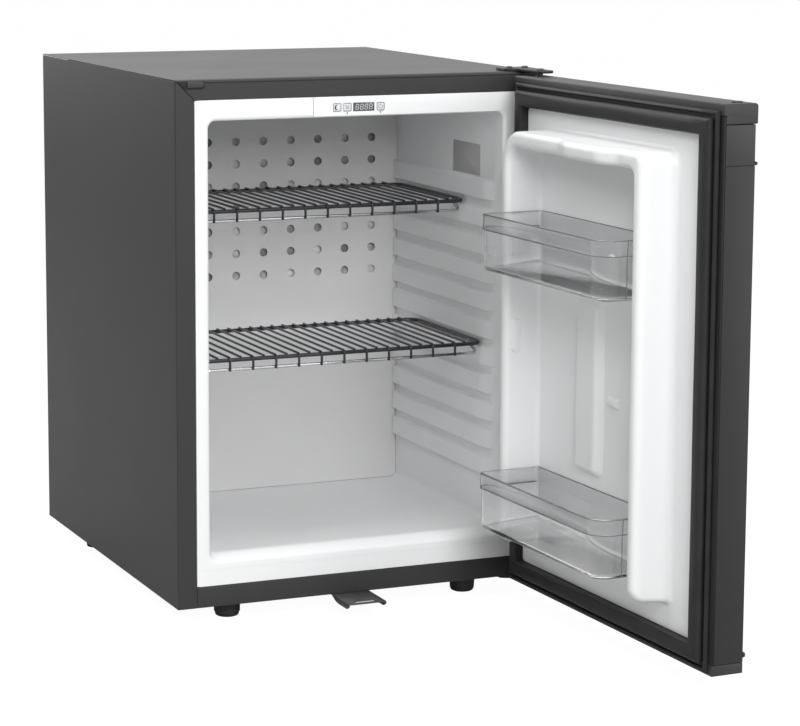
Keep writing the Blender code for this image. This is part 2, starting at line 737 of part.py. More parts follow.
def display_window():
    z = (BUTTON_BOTTOM, BUTTON_BOTTOM + BUTTON_HEIGHT)
    x = (DISPLAY_LEFT, DISPLAY_LEFT + DISPLAY_WIDTH)
    return solid("display_window", "display", box(x, (DISPLAY_SET_BACK, FASCIA_THICKNESS), z))


def button(name, x, width):
    z = (BUTTON_BOTTOM, BUTTON_BOTTOM + BUTTON_HEIGHT)
    outline = rounded((x, x + width), z, BUTTON_CORNER, 2)
    return solid(name, "grey_plastic", prism(outline, 0, BUTTON_DEPTH, "Y"))


def corner_cap():
    """Blanking cap of the unused hinge position, plugged into the frame's face."""
    outline = rounded(CORNER_CAP_X, CORNER_CAP_Z, (0.001, 0.003, 0.003, 0.001), 3)
    return solid("corner_cap", "dark_plastic", prism(outline, -GAP - 0.0018, -GAP, "Y"))


def hinge_plate(name, top):
    """Arm that carries the pin in front of the cabinet."""
    x = (PIVOT_X - HINGE_PLATE_WIDTH + HINGE_PLATE_OUTSIDE, PIVOT_X + HINGE_PLATE_OUTSIDE)
    y = (PIVOT_Y - HINGE_PLATE_REACH, HINGE_PLATE_BACK)
    z = (H + GAP, H + GAP + HINGE_PLATE) if top else (-GAP - HINGE_PLATE, -GAP)
    plate = prism(rounded(x, y, (0.010, 0.010, 0.003, 0.003), 4), *z)
    holes = [prism(circle((PIVOT_X, PIVOT_Y), PIN_RADIUS + GAP, 16), z[0] - THROUGH, z[1] + THROUGH)]
    holes += [prism(circle(place, SCREW_SHANK + GAP, 10), z[0] - THROUGH, z[1] + THROUGH)
              for place in screw_places()]
    return solid(name, "black_paint", plate, remove=holes)


def screw_places():
    return [(PIVOT_X + offset, SCREW_Y) for offset in SCREW_SPREAD]


def hinge_pin(name, top):
    """Riveted pin: a head outside the plate and a shank into the door's bush."""
    if top:
        outside, head, tip = H + GAP + HINGE_PLATE + GAP, 0.0016, DOOR_TOP - 0.011
    else:
        outside, head, tip = -GAP - HINGE_PLATE - GAP, -0.0016, DOOR_BOTTOM + 0.0085
    profile = [(0.0, outside + head), (PIN_RADIUS + 0.001, outside + head), (PIN_RADIUS + 0.002, outside),
               (PIN_RADIUS, outside), (PIN_RADIUS, tip), (0.0, tip)]
    return solid(name, "steel", turned(profile, 16, (PIVOT_X, PIVOT_Y)), smooth=True)


def hinge_screws():
    """Two screws through each hinge plate."""
    screws = []
    for plate, face, sign in (("top", H + GAP + HINGE_PLATE, 1), ("bottom", -GAP - HINGE_PLATE, -1)):
        for side, place in zip(("left", "right"), screw_places()):
            crown = face + sign * (GAP + SCREW_HEAD_HEIGHT)
            seat = face + sign * GAP
            tip = face - sign * HINGE_PLATE
            profile = [(0.0, crown), (SCREW_CROWN, crown), (SCREW_HEAD, seat), (SCREW_SHANK, seat),
                       (SCREW_SHANK, tip), (0.0, tip)]
            name = f"hinge_screw_{plate}_{side}"
            screws.append(solid(name, "steel", turned(profile, 10, place), smooth=True))
    return screws


def lock_strike():
    """Pressed plate below the front edge with the slot for the lock's bolt."""
    x = (LOCK_CENTRE_X - STRIKE_WIDTH / 2, LOCK_CENTRE_X + STRIKE_WIDTH / 2)
    y = (-STRIKE_REACH, STRIKE_BACK)
    top = -GAP
    front, low = -STRIKE_REACH, top - STRIKE_LIP
    plate = box(x, y, (top - SHEET, top))
    sides = []
    for a, b in ((x[0], x[0] + SHEET), (x[1] - SHEET, x[1])):
        outline = [(front, top), (front, low + 0.003), (front + 0.006, low), (-0.016, low),
                   (-0.008, low + 0.0012), (0.0, top - 0.0015), (STRIKE_BACK - 0.004, top)]
        sides.append(prism(outline, a, b, "X"))
    slot_x = (LOCK_CENTRE_X - STRIKE_SLOT_WIDTH / 2, LOCK_CENTRE_X + STRIKE_SLOT_WIDTH / 2)
    slot_y = grown((-STRIKE_SLOT_FORWARD,) * 2, STRIKE_SLOT_DEPTH / 2)
    slot = prism(rounded(slot_x, slot_y, STRIKE_SLOT_CORNER, 3), top - SHEET - THROUGH, top + THROUGH)
    return solid("lock_strike", "zinc", plate, add=sides, remove=[slot])


def front_foot(name, place):
    """Levelling foot with its threaded stud."""
    low, r = -FOOT_HEIGHT, FOOT_RADIUS
    profile = [(0.0, low), (r - 0.0030, low), (r - 0.0012, low + 0.0015), (r - 0.0006, low + 0.004),
               (r, -0.004), (r, -GAP), (FOOT_STUD_RADIUS, -GAP), (FOOT_STUD_RADIUS, FOOT_STUD_LENGTH),
               (0.0, FOOT_STUD_LENGTH)]
    return solid(name, "rubber", turned(profile, 20, place), smooth=True)


def rear_foot(name, x):
    low, r = -FOOT_HEIGHT, REAR_FOOT_RADIUS
    profile = [(0.0, low), (r - 0.0015, low), (r, low + 0.0015), (r, -GAP), (0.0, -GAP)]
    return solid(name, "rubber", turned(profile, 16, (x, REAR_FOOT_Y)), smooth=True)


def shelf(name, front, groove):
    """Welded wire shelf: a round frame, wires over it and a retaining wire below the front bar."""
    x = grown(OPEN_X, -GAP - SHELF_FRAME_RADIUS)
    y = (front + SHELF_FRAME_RADIUS, front + SHELF_DEPTH - SHELF_FRAME_RADIUS)
    z = groove_top(groove) - GROOVE_HEIGHT + GAP + SHELF_FRAME_RADIUS
    frame = tube([(u, v, z) for u, v in rounded(x, y, SHELF_CORNER, 4)], SHELF_FRAME_RADIUS, 8, closed=True)
    lay = z + SHELF_FRAME_RADIUS + SHELF_WIRE_RADIUS - 0.0008
    lip_z = z - LIP_DROP
    drop_y = y[0] - SHELF_FRAME_RADIUS - SHELF_WIRE_RADIUS + 0.0006
    middle = (x[0] + x[1]) / 2
    reach = int((x[1] - x[0] - 2 * SHELF_CORNER) / 2 / SHELF_WIRE_PITCH)
    wires = []
    for i in range(-reach, reach + 1):
        u = middle + i * SHELF_WIRE_PITCH
        if i % 2 == 0:
            path = fillet([(u, y[1], lay), (u, drop_y, lay), (u, drop_y, lip_z - 0.0006)], 0.003, 3)
        else:
            path = [(u, y[1], lay), (u, y[0], lay)]
        wires.append(tube(path, SHELF_WIRE_RADIUS, 6, turn_deg=30))
    ends = (OPEN_X[0] + PAD_DEPTH + 0.004, OPEN_X[1] - PAD_DEPTH - 0.004)
    lip_y = drop_y + SHELF_WIRE_RADIUS + LIP_RADIUS - 0.0006
    lip = fillet([(ends[0], y[0], z), (ends[0], lip_y, lip_z), (ends[1], lip_y, lip_z), (ends[1], y[0], z)],
                 LIP_BEND, 3)
    return solid(name, "wire", frame, add=[*wires, tube(lip, LIP_RADIUS, 8)], smooth=True)


def unit_brackets():
    """Two upright plates on the rear panel, welded to a cross strap."""
    front = UNIT_FRONT
    plates = []
    for x, side in zip(BRACKET_X, (1, -1)):
        foot = x + side * BRACKET_FOOT
        plate = [(x, front), (foot, front), (foot, front + BRACKET_SHEET),
                 (x + side * BRACKET_SHEET, front + BRACKET_SHEET),
                 (x + side * BRACKET_SHEET, BRACKET_EDGE), (x, BRACKET_EDGE)]
        plates.append(prism(plate, *BRACKET_Z))
    strap = box(BRACKET_X, (front, front + BRACKET_SHEET), STRAP_Z)
    return solid("unit_brackets", "black_paint", plates[0], add=[plates[1], strap])


def boiler_span():
    right = BRACKET_X[1] - BRACKET_FOOT - 2 * GAP
    return (right - BOILER_SIZE[0], right)


def boiler_case():
    """Insulated sheet case round the boiler and its heater."""
    front = UNIT_FRONT + BRACKET_SHEET + GAP
    outline = rounded(boiler_span(), (front, front + BOILER_SIZE[1]), 0.012, 3)
    return solid("boiler_case", "zinc", prism(outline, BOILER_BOTTOM, BOILER_BOTTOM + BOILER_SIZE[2]))


def absorber_vessel():
    """Lying vessel with the welded tube that leads back to the boiler."""
    y = UNIT_Y + VESSEL_RADIUS
    right = VESSEL_LEFT + VESSEL_LENGTH
    rise = sum(boiler_span()) / 2
    path = fillet([(right - THROUGH, y, VESSEL_Z), (rise, y, VESSEL_Z), (rise, y, BOILER_BOTTOM - GAP)],
                  RETURN_BEND, 4)
    vessel = tube([(VESSEL_LEFT, y, VESSEL_Z), (right, y, VESSEL_Z)], VESSEL_RADIUS, 16)
    tail = tube(path, COIL_TUBE_RADIUS, 8)
    return solid("absorber_vessel", "black_paint", vessel, add=[tail], smooth=True)


def absorber_coil():
    """One serpentine tube from the evaporator's return down into the vessel."""
    y = UNIT_Y + COIL_TUBE_RADIUS
    bend = COIL_PITCH / 2 - 0.0001
    points = [(tube_place()[0], y, COIL_TOP + COIL_STUB), (tube_place()[0], y, COIL_TOP)]
    sides = (COIL_X[0], COIL_X[1])
    for i in range(COIL_TURNS):
        z = COIL_TOP - i * COIL_PITCH
        points.append((sides[i % 2], y, z))
        points.append((sides[i % 2], y, z - COIL_PITCH))
    last = COIL_TOP - COIL_TURNS * COIL_PITCH
    x = (sides[0] + sides[1]) / 2
    points += [(x, y, last), (x, y, VESSEL_Z + VESSEL_RADIUS + 0.001)]
    path = fillet(points, bend, 4)
    return solid("absorber_coil", "black_paint", tube(path, COIL_TUBE_RADIUS, 8), smooth=True)


def evaporator_tube():
    """From the evaporator's plate through the rear wall to the top of the coil."""
    x, z = tube_place()
    y = UNIT_Y + COIL_TUBE_RADIUS
    path = fillet([(x, LINER_DEPTH, z), (x, y, z), (x, y, COIL_TOP + COIL_STUB + GAP)], TUBE_BEND, 4)
    return solid("evaporator_tube", "black_paint", tube(path, EVAPORATOR_TUBE_RADIUS, 8), smooth=True)


def condenser():
    """Finned tube at the top of the compartment, fed from the boiler."""
    y = UNIT_Y + CONDENSER_TUBE_RADIUS
    rise = sum(boiler_span()) / 2
    start = BOILER_BOTTOM + BOILER_SIZE[2] + GAP
    right, low = BRACKET_X[1] + CONDENSER_OVERHANG, CONDENSER_Z - CONDENSER_RETURN
    path = fillet([(rise, y, start), (rise, y, low), (right, y, low), (right, y, CONDENSER_Z),
                   (BRACKET_X[0] - CONDENSER_OVERHANG, y, CONDENSER_Z)], CONDENSER_BEND, 4)
    depth, height = CONDENSER_FIN[1], CONDENSER_FIN[2]
    span = (BRACKET_X[0] + 0.022, boiler_span()[0] + 0.010)
    pitch = (span[1] - span[0]) / (CONDENSER_FINS - 1)
    fins = []
    for i in range(CONDENSER_FINS):
        x = span[0] + i * pitch
        fins.append(box((x, x + CONDENSER_FIN[0]), (y - depth / 2 + 0.006, y + depth / 2 + 0.006),
                        (CONDENSER_Z - height / 2, CONDENSER_Z + height / 2)))
    return solid("condenser", "zinc", tube(path, CONDENSER_TUBE_RADIUS, 8), add=fins)


def electrics_box():
    """Housing of the heater's wiring, with the appliance inlet in its back."""
    front = UNIT_FRONT
    back = front + ELECTRICS_DEPTH
    shell = box(ELECTRICS_X, (front, back), ELECTRICS_Z)
    hollow = box(grown(ELECTRICS_X, -0.002), (front - THROUGH, back - 0.002), grown(ELECTRICS_Z, -0.002))
    hole = box(grown(inlet_span()[0], GAP), (back - 0.004, back + THROUGH), grown(inlet_span()[1], GAP))
    return solid("electrics_box", "dark_plastic", shell, remove=[hollow, hole])


def inlet_span():
    x = (ELECTRICS_X[0] + ELECTRICS_X[1]) / 2
    z = (ELECTRICS_Z[0] + ELECTRICS_Z[1]) / 2
    return grown((x, x), INLET_SIZE[0] / 2), grown((z, z), INLET_SIZE[1] / 2)


def power_inlet():
    """Appliance inlet: a flanged shell with three flat pins."""
    x, z = inlet_span()
    back = UNIT_FRONT + ELECTRICS_DEPTH
    body = box(x, (back - INLET_DEPTH - 0.001, back + GAP + 0.001), z)
    flange = box(grown(x, 0.003), (back + GAP, back + GAP + 0.002), grown(z, 0.003))
    recess = box(grown(x, -INLET_WALL), (back - INLET_DEPTH + 0.001, back + 0.010), grown(z, -INLET_WALL))
    middle_x, middle_z = sum(x) / 2, sum(z) / 2
    pins = [box(grown((middle_x + dx,) * 2, 0.001), (back - INLET_DEPTH, back - 0.002),
                grown((middle_z + dz,) * 2, 0.002))
            for dx, dz in ((-0.007, -0.002), (0.007, -0.002), (0.0, 0.003))]
    inlet = make("power_inlet", body)
    fuse(inlet, flange)
    cut(inlet, recess)
    fuse(inlet, *pins)
    dress(inlet, "dark_plastic")
    return inlet


def insert_box(margin=0.0):
    """The block let into the free edge below the top cap."""
    return box((-margin, INSERT_WIDTH + margin), (DOOR_OUT - margin, FOAM_FACE_OUT + margin),
               (TRIM_TOP[0], PAN_Z[1] - GAP + margin))


def door_outer_panel():
    """Sheet pan: outer face with returns, open towards the cabinet."""
    z = (PAN_Z[0] + GAP, PAN_Z[1] - GAP)
    pan = box((0, W), (DOOR_OUT, FOAM_FACE_OUT), z)
    hollow = box((DOOR_SHEET, W - DOOR_SHEET), (DOOR_OUT + DOOR_SHEET, DOOR_IN), grown(z, -DOOR_SHEET))
    lock_hole = prism(circle((LOCK_CENTRE_X, CYLINDER_Z), CYLINDER_RADIUS + GAP, 20),
                      DOOR_OUT - THROUGH, DOOR_OUT + THROUGH, "Y")
    bolt_slot = box(*bolt_room(GAP), (PAN_Z[0] - THROUGH, PAN_Z[0] + THROUGH))
    return solid("door_outer_panel", "dark_paint", pan,
                 remove=[hollow, insert_box(GAP), lock_hole, bolt_slot])


def bolt_room(margin):
    return (grown((LOCK_CENTRE_X,) * 2, BOLT_WIDTH / 2 + margin),
            grown((-STRIKE_SLOT_FORWARD,) * 2, BOLT_THICKNESS / 2 + margin))


def door_foam():
    """Foam filling of the door."""
    z = (PAN_Z[0] + DOOR_SHEET + 2 * GAP, PAN_Z[1] - DOOR_SHEET - 2 * GAP)
    body = box(grown((0, W), -DOOR_SHEET - GAP), (DOOR_OUT + DOOR_SHEET + GAP, FOAM_FACE_OUT), z)
    lock = box(grown((LOCK_CENTRE_X,) * 2, LOCK_HOUSING_X + GAP), (DOOR_OUT, lock_back() + GAP),
               (0, LOCK_HOUSING_TOP + GAP))
    return solid("door_foam", "foam", body, remove=[insert_box(2 * GAP), lock])


def door_frame():
    """Flat plastic frame round the liner, below the gasket."""
    y = (DOOR_IN - DOOR_FRAME_THICKNESS - GAP, DOOR_IN)
    outer = box((0, W), y, (PAN_Z[0] + GAP, INNER_CAP_BOTTOM - GAP))
    inner = box(grown((0, W), -DOOR_FRAME_WIDTH), grown(y, THROUGH), LINER_Z)
    return solid("door_frame", "dark_plastic", outer, remove=[inner])


def cap_holes(z, other=False):
    """Bush hole and, on the free side, the spare hinge hole."""
    holes = [prism(circle((PIVOT_X, PIVOT_Y), BUSH_RADIUS + GAP, 16), *z)]
    if other:
        holes.append(prism(circle((HINGE_INSET_X, PIVOT_Y), PLUG_RADIUS + GAP, 14), *z))
    return holes


def door_top_cap():
    y = (DOOR_OUT - CAP_PROUD, FOAM_FACE_OUT)
    lip = box((0, W), (y[1] - THROUGH, DOOR_IN), (INNER_CAP_BOTTOM, DOOR_TOP))
    return solid("door_top_cap", "dark_plastic", box((0, W), y, (PAN_Z[1], DOOR_TOP)), add=[lip],
                 remove=cap_holes((DOOR_TOP - BUSH_LENGTH - GAP, DOOR_TOP + THROUGH), other=True))


def door_bottom_cap():
    y = (DOOR_OUT, DOOR_IN)
    slot = box(*bolt_room(GAP), (DOOR_BOTTOM - THROUGH, PAN_Z[0] + THROUGH))
    return solid("door_bottom_cap", "dark_plastic", box((0, W), y, (DOOR_BOTTOM, PAN_Z[0])),
                 remove=[slot, *cap_holes((DOOR_BOTTOM - THROUGH, PAN_Z[0] + THROUGH))])


def edge_insert():
    return solid("edge_insert", "dark_plastic", insert_box())


def trim_strip(name, z):
    """Strip across the outer face."""
    y = (DOOR_OUT - GAP - CAP_PROUD, DOOR_OUT - GAP)
    outline = [(y[1], z[0]), (y[0], z[0] + 0.0008), (y[0], z[1] - 0.0008), (y[1], z[1])]
    return solid(name, "dark_plastic", prism(outline, 0, W, "X"))


def hinge_bush(name, z):
    """Plastic sleeve in the cap; the pin turns in it."""
    outer = prism(circle((PIVOT_X, PIVOT_Y), BUSH_RADIUS, 16), *z)
    bore = prism(circle((PIVOT_X, PIVOT_Y), PIN_RADIUS + BUSH_CLEARANCE, 16), *grown(z, THROUGH))
    return solid(name, "grey_plastic", outer, remove=[bore], smooth=True)


def hinge_hole_plug():
    """Plug of the spare hinge hole in the top cap."""
    low, seat, crown = DOOR_TOP - BUSH_LENGTH, DOOR_TOP + GAP, DOOR_TOP + PLUG_FLANGE
    profile = [(0.0, low), (PLUG_RADIUS, low), (PLUG_RADIUS, seat), (PLUG_RADIUS + PLUG_FLANGE, seat),
               (PLUG_RADIUS, crown), (0.0, crown)]
    return solid("hinge_hole_plug", "rubber", turned(profile, 14, (HINGE_INSET_X, PIVOT_Y)), smooth=True)


def d_at(height):
    """Y of a point that stands a height proud of the liner's flat surface, door shut."""
    return DOOR_IN + height


def dyke(inset):
    """Raised frame of the liner: two columns and a crossbar. An inset gives its hollow."""
    base = d_at(-LINER_SHEET - (THROUGH if inset else 0))
    top = d_at(DYKE_HEIGHT - inset)
    slope = COLUMN_SLOPE
    z_low, z_top = DYKE_BOTTOM + inset, CROSSBAR[1] - inset
    free, hinge = COLUMN_FREE, COLUMN_HINGE
    pieces = []
    for foot, inner, side in ((free[0], free[1], 1), (hinge[1], hinge[0], -1)):
        low, high = foot + side * inset, foot + side * (slope + inset)
        face = inner - side * inset
        outline = [(low, base), (low, d_at(0)), (high, top), (face, top), (face, base)]
        pieces.append(prism(outline, z_low, z_top))
    bar = [(base, CROSSBAR[0] + inset), (top, CROSSBAR[0] + inset), (top, z_top), (base, z_top)]
    pieces.append(prism(bar, free[0] + slope + inset, hinge[1] - slope - inset, "X"))
    return pieces


def foot_bevel():
    """Takes the corner off the lower ends of the columns, where the cabinet's sill slopes."""
    y = (d_at(0.008), d_at(DYKE_HEIGHT + THROUGH))
    run = DYKE_BOTTOM_SLOPE
    outline = [(y[0], DYKE_BOTTOM - THROUGH), (y[1], DYKE_BOTTOM - THROUGH), (y[1], DYKE_BOTTOM + run),
               (y[0] + run + THROUGH, DYKE_BOTTOM + run), (y[0], DYKE_BOTTOM)]
    return prism(outline, COLUMN_FREE[0] - THROUGH, COLUMN_HINGE[1] + THROUGH, "X")


def from_column(span):
    """A span measured from the free-side column's inner edge."""
    return (COLUMN_FREE[1] + span[0], COLUMN_FREE[1] + span[1])


def door_liner():
    """Moulded inner skin of the door, with its hollow raised frame and the lugs for the bins."""
    sheet = box(grown((0, W), -DOOR_FRAME_WIDTH - GAP), (d_at(-LINER_SHEET), d_at(0)), grown(LINER_Z, -GAP))
    liner = make("door_liner", sheet)
    root = d_at(DYKE_HEIGHT - THROUGH)
    crest = d_at(DYKE_HEIGHT + BUMP_HEIGHT)
    bump = prism([(root, CROSSBAR[0] + 0.002), (root, CROSSBAR[1]), (crest, CROSSBAR[1] - 0.002),
                  (crest, CROSSBAR[0] + 0.005)], *from_column(BUMP_FROM), "X")
    sunk, rib_x = d_at(-0.001), from_column(RIB_FROM)
    rib_top = grown(rib_x, -RIB_SLOPE)
    rib = prism([(rib_x[0], sunk), (rib_x[1], sunk), (rib_top[1], d_at(RIB_HEIGHT)),
                 (rib_top[0], d_at(RIB_HEIGHT))], *RIB_Z)
    wedge = prism([(sunk, WEDGE_Z - 0.006), (d_at(0.005), WEDGE_Z + 0.002), (sunk, WEDGE_Z + 0.004)],
                  *from_column(WEDGE_FROM), "X")
    fuse(liner, *dyke(0.0), bump, rib, wedge)
    cut(liner, foot_bevel())
    cut(liner, *dyke(DYKE_WALL))
    fuse(liner, *bin_lugs())
    dress(liner, "white_plastic")
    return liner


def lug_tops():
    return [bin_rim_bottom(top) - GAP for _, _, top in BINS] + [MIDDLE_LUG_TOP]


def bin_rim_bottom(top):
    return top - RIM_HEIGHT


def bin_lugs():
    lugs = []
    y = (d_at(LUG_D[0]), d_at(LUG_D[1]))
    for top in lug_tops():
        for wall, side in ((COLUMN_FREE[1], 1), (COLUMN_HINGE[0], -1)):
            x = sorted((wall - side * DYKE_WALL / 2, wall + side * LUG_REACH))
            lugs.append(box(x, y, (top - LUG_HEIGHT, top)))
    return lugs


def door_gasket():
    """Magnetic gasket: a square frame with a groove and an outer rib."""
    def ring(margin_out, margin_in, y):
        outer = box(grown((0, W), -margin_out), y, (DOOR_BOTTOM + margin_out, DOOR_TOP - margin_out))
        inner = box(grown((0, W), -margin_in), grown(y, THROUGH),
                    (DOOR_BOTTOM + margin_in, DOOR_TOP - margin_in))
        return outer, inner
    base = DOOR_IN + GAP
    top = base + GASKET_HEIGHT
    body, hole = ring(GASKET_OUTER, GASKET_INNER, (base, top))
    groove_out, groove_in = ring(GASKET_OUTER + 0.0030, GASKET_OUTER + 0.0060, (top - 0.005, top + THROUGH))
    gasket = make("door_gasket", body)
    groove = make("groove", groove_out)
    cut(groove, groove_in)
    spare = bmesh.new()
    spare.from_mesh(groove.data)
    bpy.data.objects.remove(groove, do_unlink=True)
    cut(gasket, hole, spare)
    dress(gasket, "rubber")
    return gasket


def bin_box(inset):
    """Plan outline of a bin, moved in by an inset; its back stays off the liner."""
    x = (COLUMN_FREE[1] + LUG_REACH + GAP * 1.5, COLUMN_HINGE[0] - LUG_REACH - GAP * 1.5)
    x = grown(x, -inset)
    y = (d_at(BIN_FLOOR_GAP) + max(inset, 0.0), d_at(BIN_DEPTH) - inset)
    radii = (BIN_BACK_CORNER, BIN_BACK_CORNER, BIN_HINGE_CORNER, BIN_FREE_CORNER)
    return rounded(x, y, tuple(max(r - inset, BIN_BACK_CORNER / 2.5) for r in radii), 4)


def door_bin(name, bottom, top):
    """Clear bin: a tub with rounded front corners and a rim band that hangs on the lugs."""
    rim = bin_rim_bottom(top)
    low, high = BIN_BOTTOM_EDGE
    foot = [(low, bottom), (high, bottom + BIN_BEVEL_HEIGHT), (0.0, bottom + low)]
    tub = loft([*foot, (0.0, rim), (-RIM_PROUD, rim + GAP), (-RIM_PROUD, top)])
    inside = loft([*((inset + BIN_WALL, z + BIN_WALL) for inset, z in foot), (BIN_WALL, top + THROUGH)])
    return solid(name, "clear_plastic", tub, remove=[inside], smooth=True)


def loft(sections):
    """Stack bin outlines of growing size into one solid."""
    bm = bmesh.new()
    rings = [[bm.verts.new((x, y, z)) for x, y in bin_box(inset)] for inset, z in sections]
    count = len(rings[0])
    bm.faces.new(rings[0])
    bm.faces.new(rings[-1])
    for ring, following in zip(rings, rings[1:]):
        for k in range(count):
            m = (k + 1) % count
            bm.faces.new((ring[k], ring[m], following[m], following[k]))
    return bm


def lock_back():
    return DOOR_OUT + DOOR_SHEET + GAP + LOCK_HOUSING_DEPTH


def lock_housing():
    """Block in the door's lower edge that guides the bolt and holds the cylinder."""
    z = (PAN_Z[0] + DOOR_SHEET + 2 * GAP, LOCK_HOUSING_TOP)
    y = (DOOR_OUT + DOOR_SHEET + GAP, lock_back())
    slot = box(*bolt_room(GAP), (z[0] - THROUGH, BOLT_REST + BOLT_LENGTH + GAP))
    hole = prism(circle((LOCK_CENTRE_X, CYLINDER_Z), CYLINDER_RADIUS + GAP, 20), y[0] - THROUGH,
                 DOOR_OUT - CAP_PROUD + CYLINDER_LENGTH + GAP, "Y")
    block = box(grown((LOCK_CENTRE_X,) * 2, LOCK_HOUSING_X), y, z)
    return solid("lock_housing", "zinc", block, remove=[slot, hole])


def lock_cylinder():
    y = (DOOR_OUT - CAP_PROUD, DOOR_OUT - CAP_PROUD + CYLINDER_LENGTH)
    body = prism(circle((LOCK_CENTRE_X, CYLINDER_Z), CYLINDER_RADIUS, 20), *y, "Y")
    keyway = box(grown((LOCK_CENTRE_X,) * 2, KEYWAY[0]), (y[0] - THROUGH, y[0] + KEYWAY[2]),
                 grown((CYLINDER_Z,) * 2, KEYWAY[1]))
    return solid("lock_cylinder", "steel", body, remove=[keyway], smooth=True)


def lock_bolt():
    return solid("lock_bolt", "steel", box(*bolt_room(0.0), (BOLT_REST, BOLT_REST + BOLT_LENGTH)))


def empty(name, place, parent=None, turn_deg=0.0):
    holder = bpy.data.objects.new(name, None)
    holder.empty_display_size = 0.03
    bpy.context.scene.collection.objects.link(holder)
    holder.parent = parent
    holder.location = place
    holder.rotation_euler = (0, 0, math.radians(turn_deg))
    return holder


def hang(obj, holder, place):
    """Parent a piece to a joint's empty; the mesh stays where it was modelled."""
    obj.parent = holder
    obj.location = -Vector(place)


def build_cabinet(root):
    pieces = [side_panel("side_panel_left", True), side_panel("side_panel_right", False), top_panel(),
              sill_rail(), rear_panel(), base_panel(), inner_liner(), insulation_foam(), perforated_back(),
              evaporator(), temperature_sensor(), control_fascia(), control_board(), display_window(),
              corner_cap(), hinge_plate("hinge_plate_top", True), hinge_plate("hinge_plate_bottom", False),
              hinge_pin("hinge_pin_top", True), hinge_pin("hinge_pin_bottom", False), lock_strike(),
              rear_foot("rear_foot_left", REAR_FOOT_INSET_X),
              rear_foot("rear_foot_right", W - REAR_FOOT_INSET_X), unit_brackets(), boiler_case(),
              absorber_vessel(), absorber_coil(), evaporator_tube(), condenser(), electrics_box(),
              power_inlet(), *hinge_screws()]
    for piece in pieces:
        piece.parent = root


def build_sliders(root):
    """Pieces that slide in the cabinet, each below an empty of its own."""
    for name, x, width in BUTTONS:
        place = (x + width / 2, 0, BUTTON_BOTTOM + BUTTON_HEIGHT / 2)
        hang(button(name, x, width), empty(name + "_slide", place, root), place)
    for name, front, groove in (("upper_shelf", UPPER_SHELF_Y, UPPER_SHELF_GROOVE),
                                ("lower_shelf", LOWER_SHELF_Y, LOWER_SHELF_GROOVE)):
        place = (W / 2, front, groove_top(groove) - GROOVE_HEIGHT)
        hang(shelf(name, front, groove), empty(name + "_slide", place, root), place)
    for side, (x, y) in zip(("left", "right"), foot_places()):
        name = "front_foot_" + side
        place = (x, y, -FOOT_HEIGHT)
        hang(front_foot(name, (x, y)), empty(name + "_thread", place, root), place)


def build_door(root):
    pivot = (PIVOT_X, PIVOT_Y, 0)
    hinge = empty("door_hinge", pivot, root, DOOR_OPEN_DEG)
    pieces = [door_outer_panel(), door_foam(), door_frame(), door_top_cap(), door_bottom_cap(),
              edge_insert(),
              trim_strip("trim_strip_top", TRIM_TOP), trim_strip("trim_strip_bottom", TRIM_BOTTOM),
              hinge_bush("hinge_bush_top", (DOOR_TOP - BUSH_LENGTH, DOOR_TOP)),
              hinge_bush("hinge_bush_bottom", (DOOR_BOTTOM, PAN_Z[0])), hinge_hole_plug(), door_liner(),
              door_gasket(), lock_housing()]
    for piece in pieces:
        hang(piece, hinge, pivot)
    for name, bottom, top in BINS:
        place = Vector((W / 2, d_at(BIN_DEPTH), top))
        hang(door_bin(name, bottom, top), empty(name + "_lift", place - Vector(pivot), hinge), place)
    place = Vector((LOCK_CENTRE_X, DOOR_OUT, CYLINDER_Z))
    hang(lock_cylinder(), empty("cylinder_axis", place - Vector(pivot), hinge), place)
    place = Vector((LOCK_CENTRE_X, -STRIKE_SLOT_FORWARD, BOLT_REST))
    hang(lock_bolt(), empty("bolt_slide", place - Vector(pivot), hinge), place)


def centre_on_base(root):
    """Move the whole fridge so that the origin is at the bottom centre of its bounding box."""
    bpy.context.view_layer.update()
    corners = [obj.matrix_world @ vertex.co for obj in bpy.data.objects if obj.type == "MESH"
               for vertex in obj.data.vertices]
    low = [min(c[i] for c in corners) for i in range(3)]
    high = [max(c[i] for c in corners) for i in range(3)]
    root.location -= Vector(((low[0] + high[0]) / 2, (low[1] + high[1]) / 2, low[2]))
    bpy.context.view_layer.update()


def main():
    clear_scene()
    root = empty("fridge", (0, 0, 0))
    build_cabinet(root)
    build_sliders(root)
    build_door(root)
    centre_on_base(root)


main()
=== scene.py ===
import json
import math

import bmesh
import bpy
from mathutils import Matrix, Vector

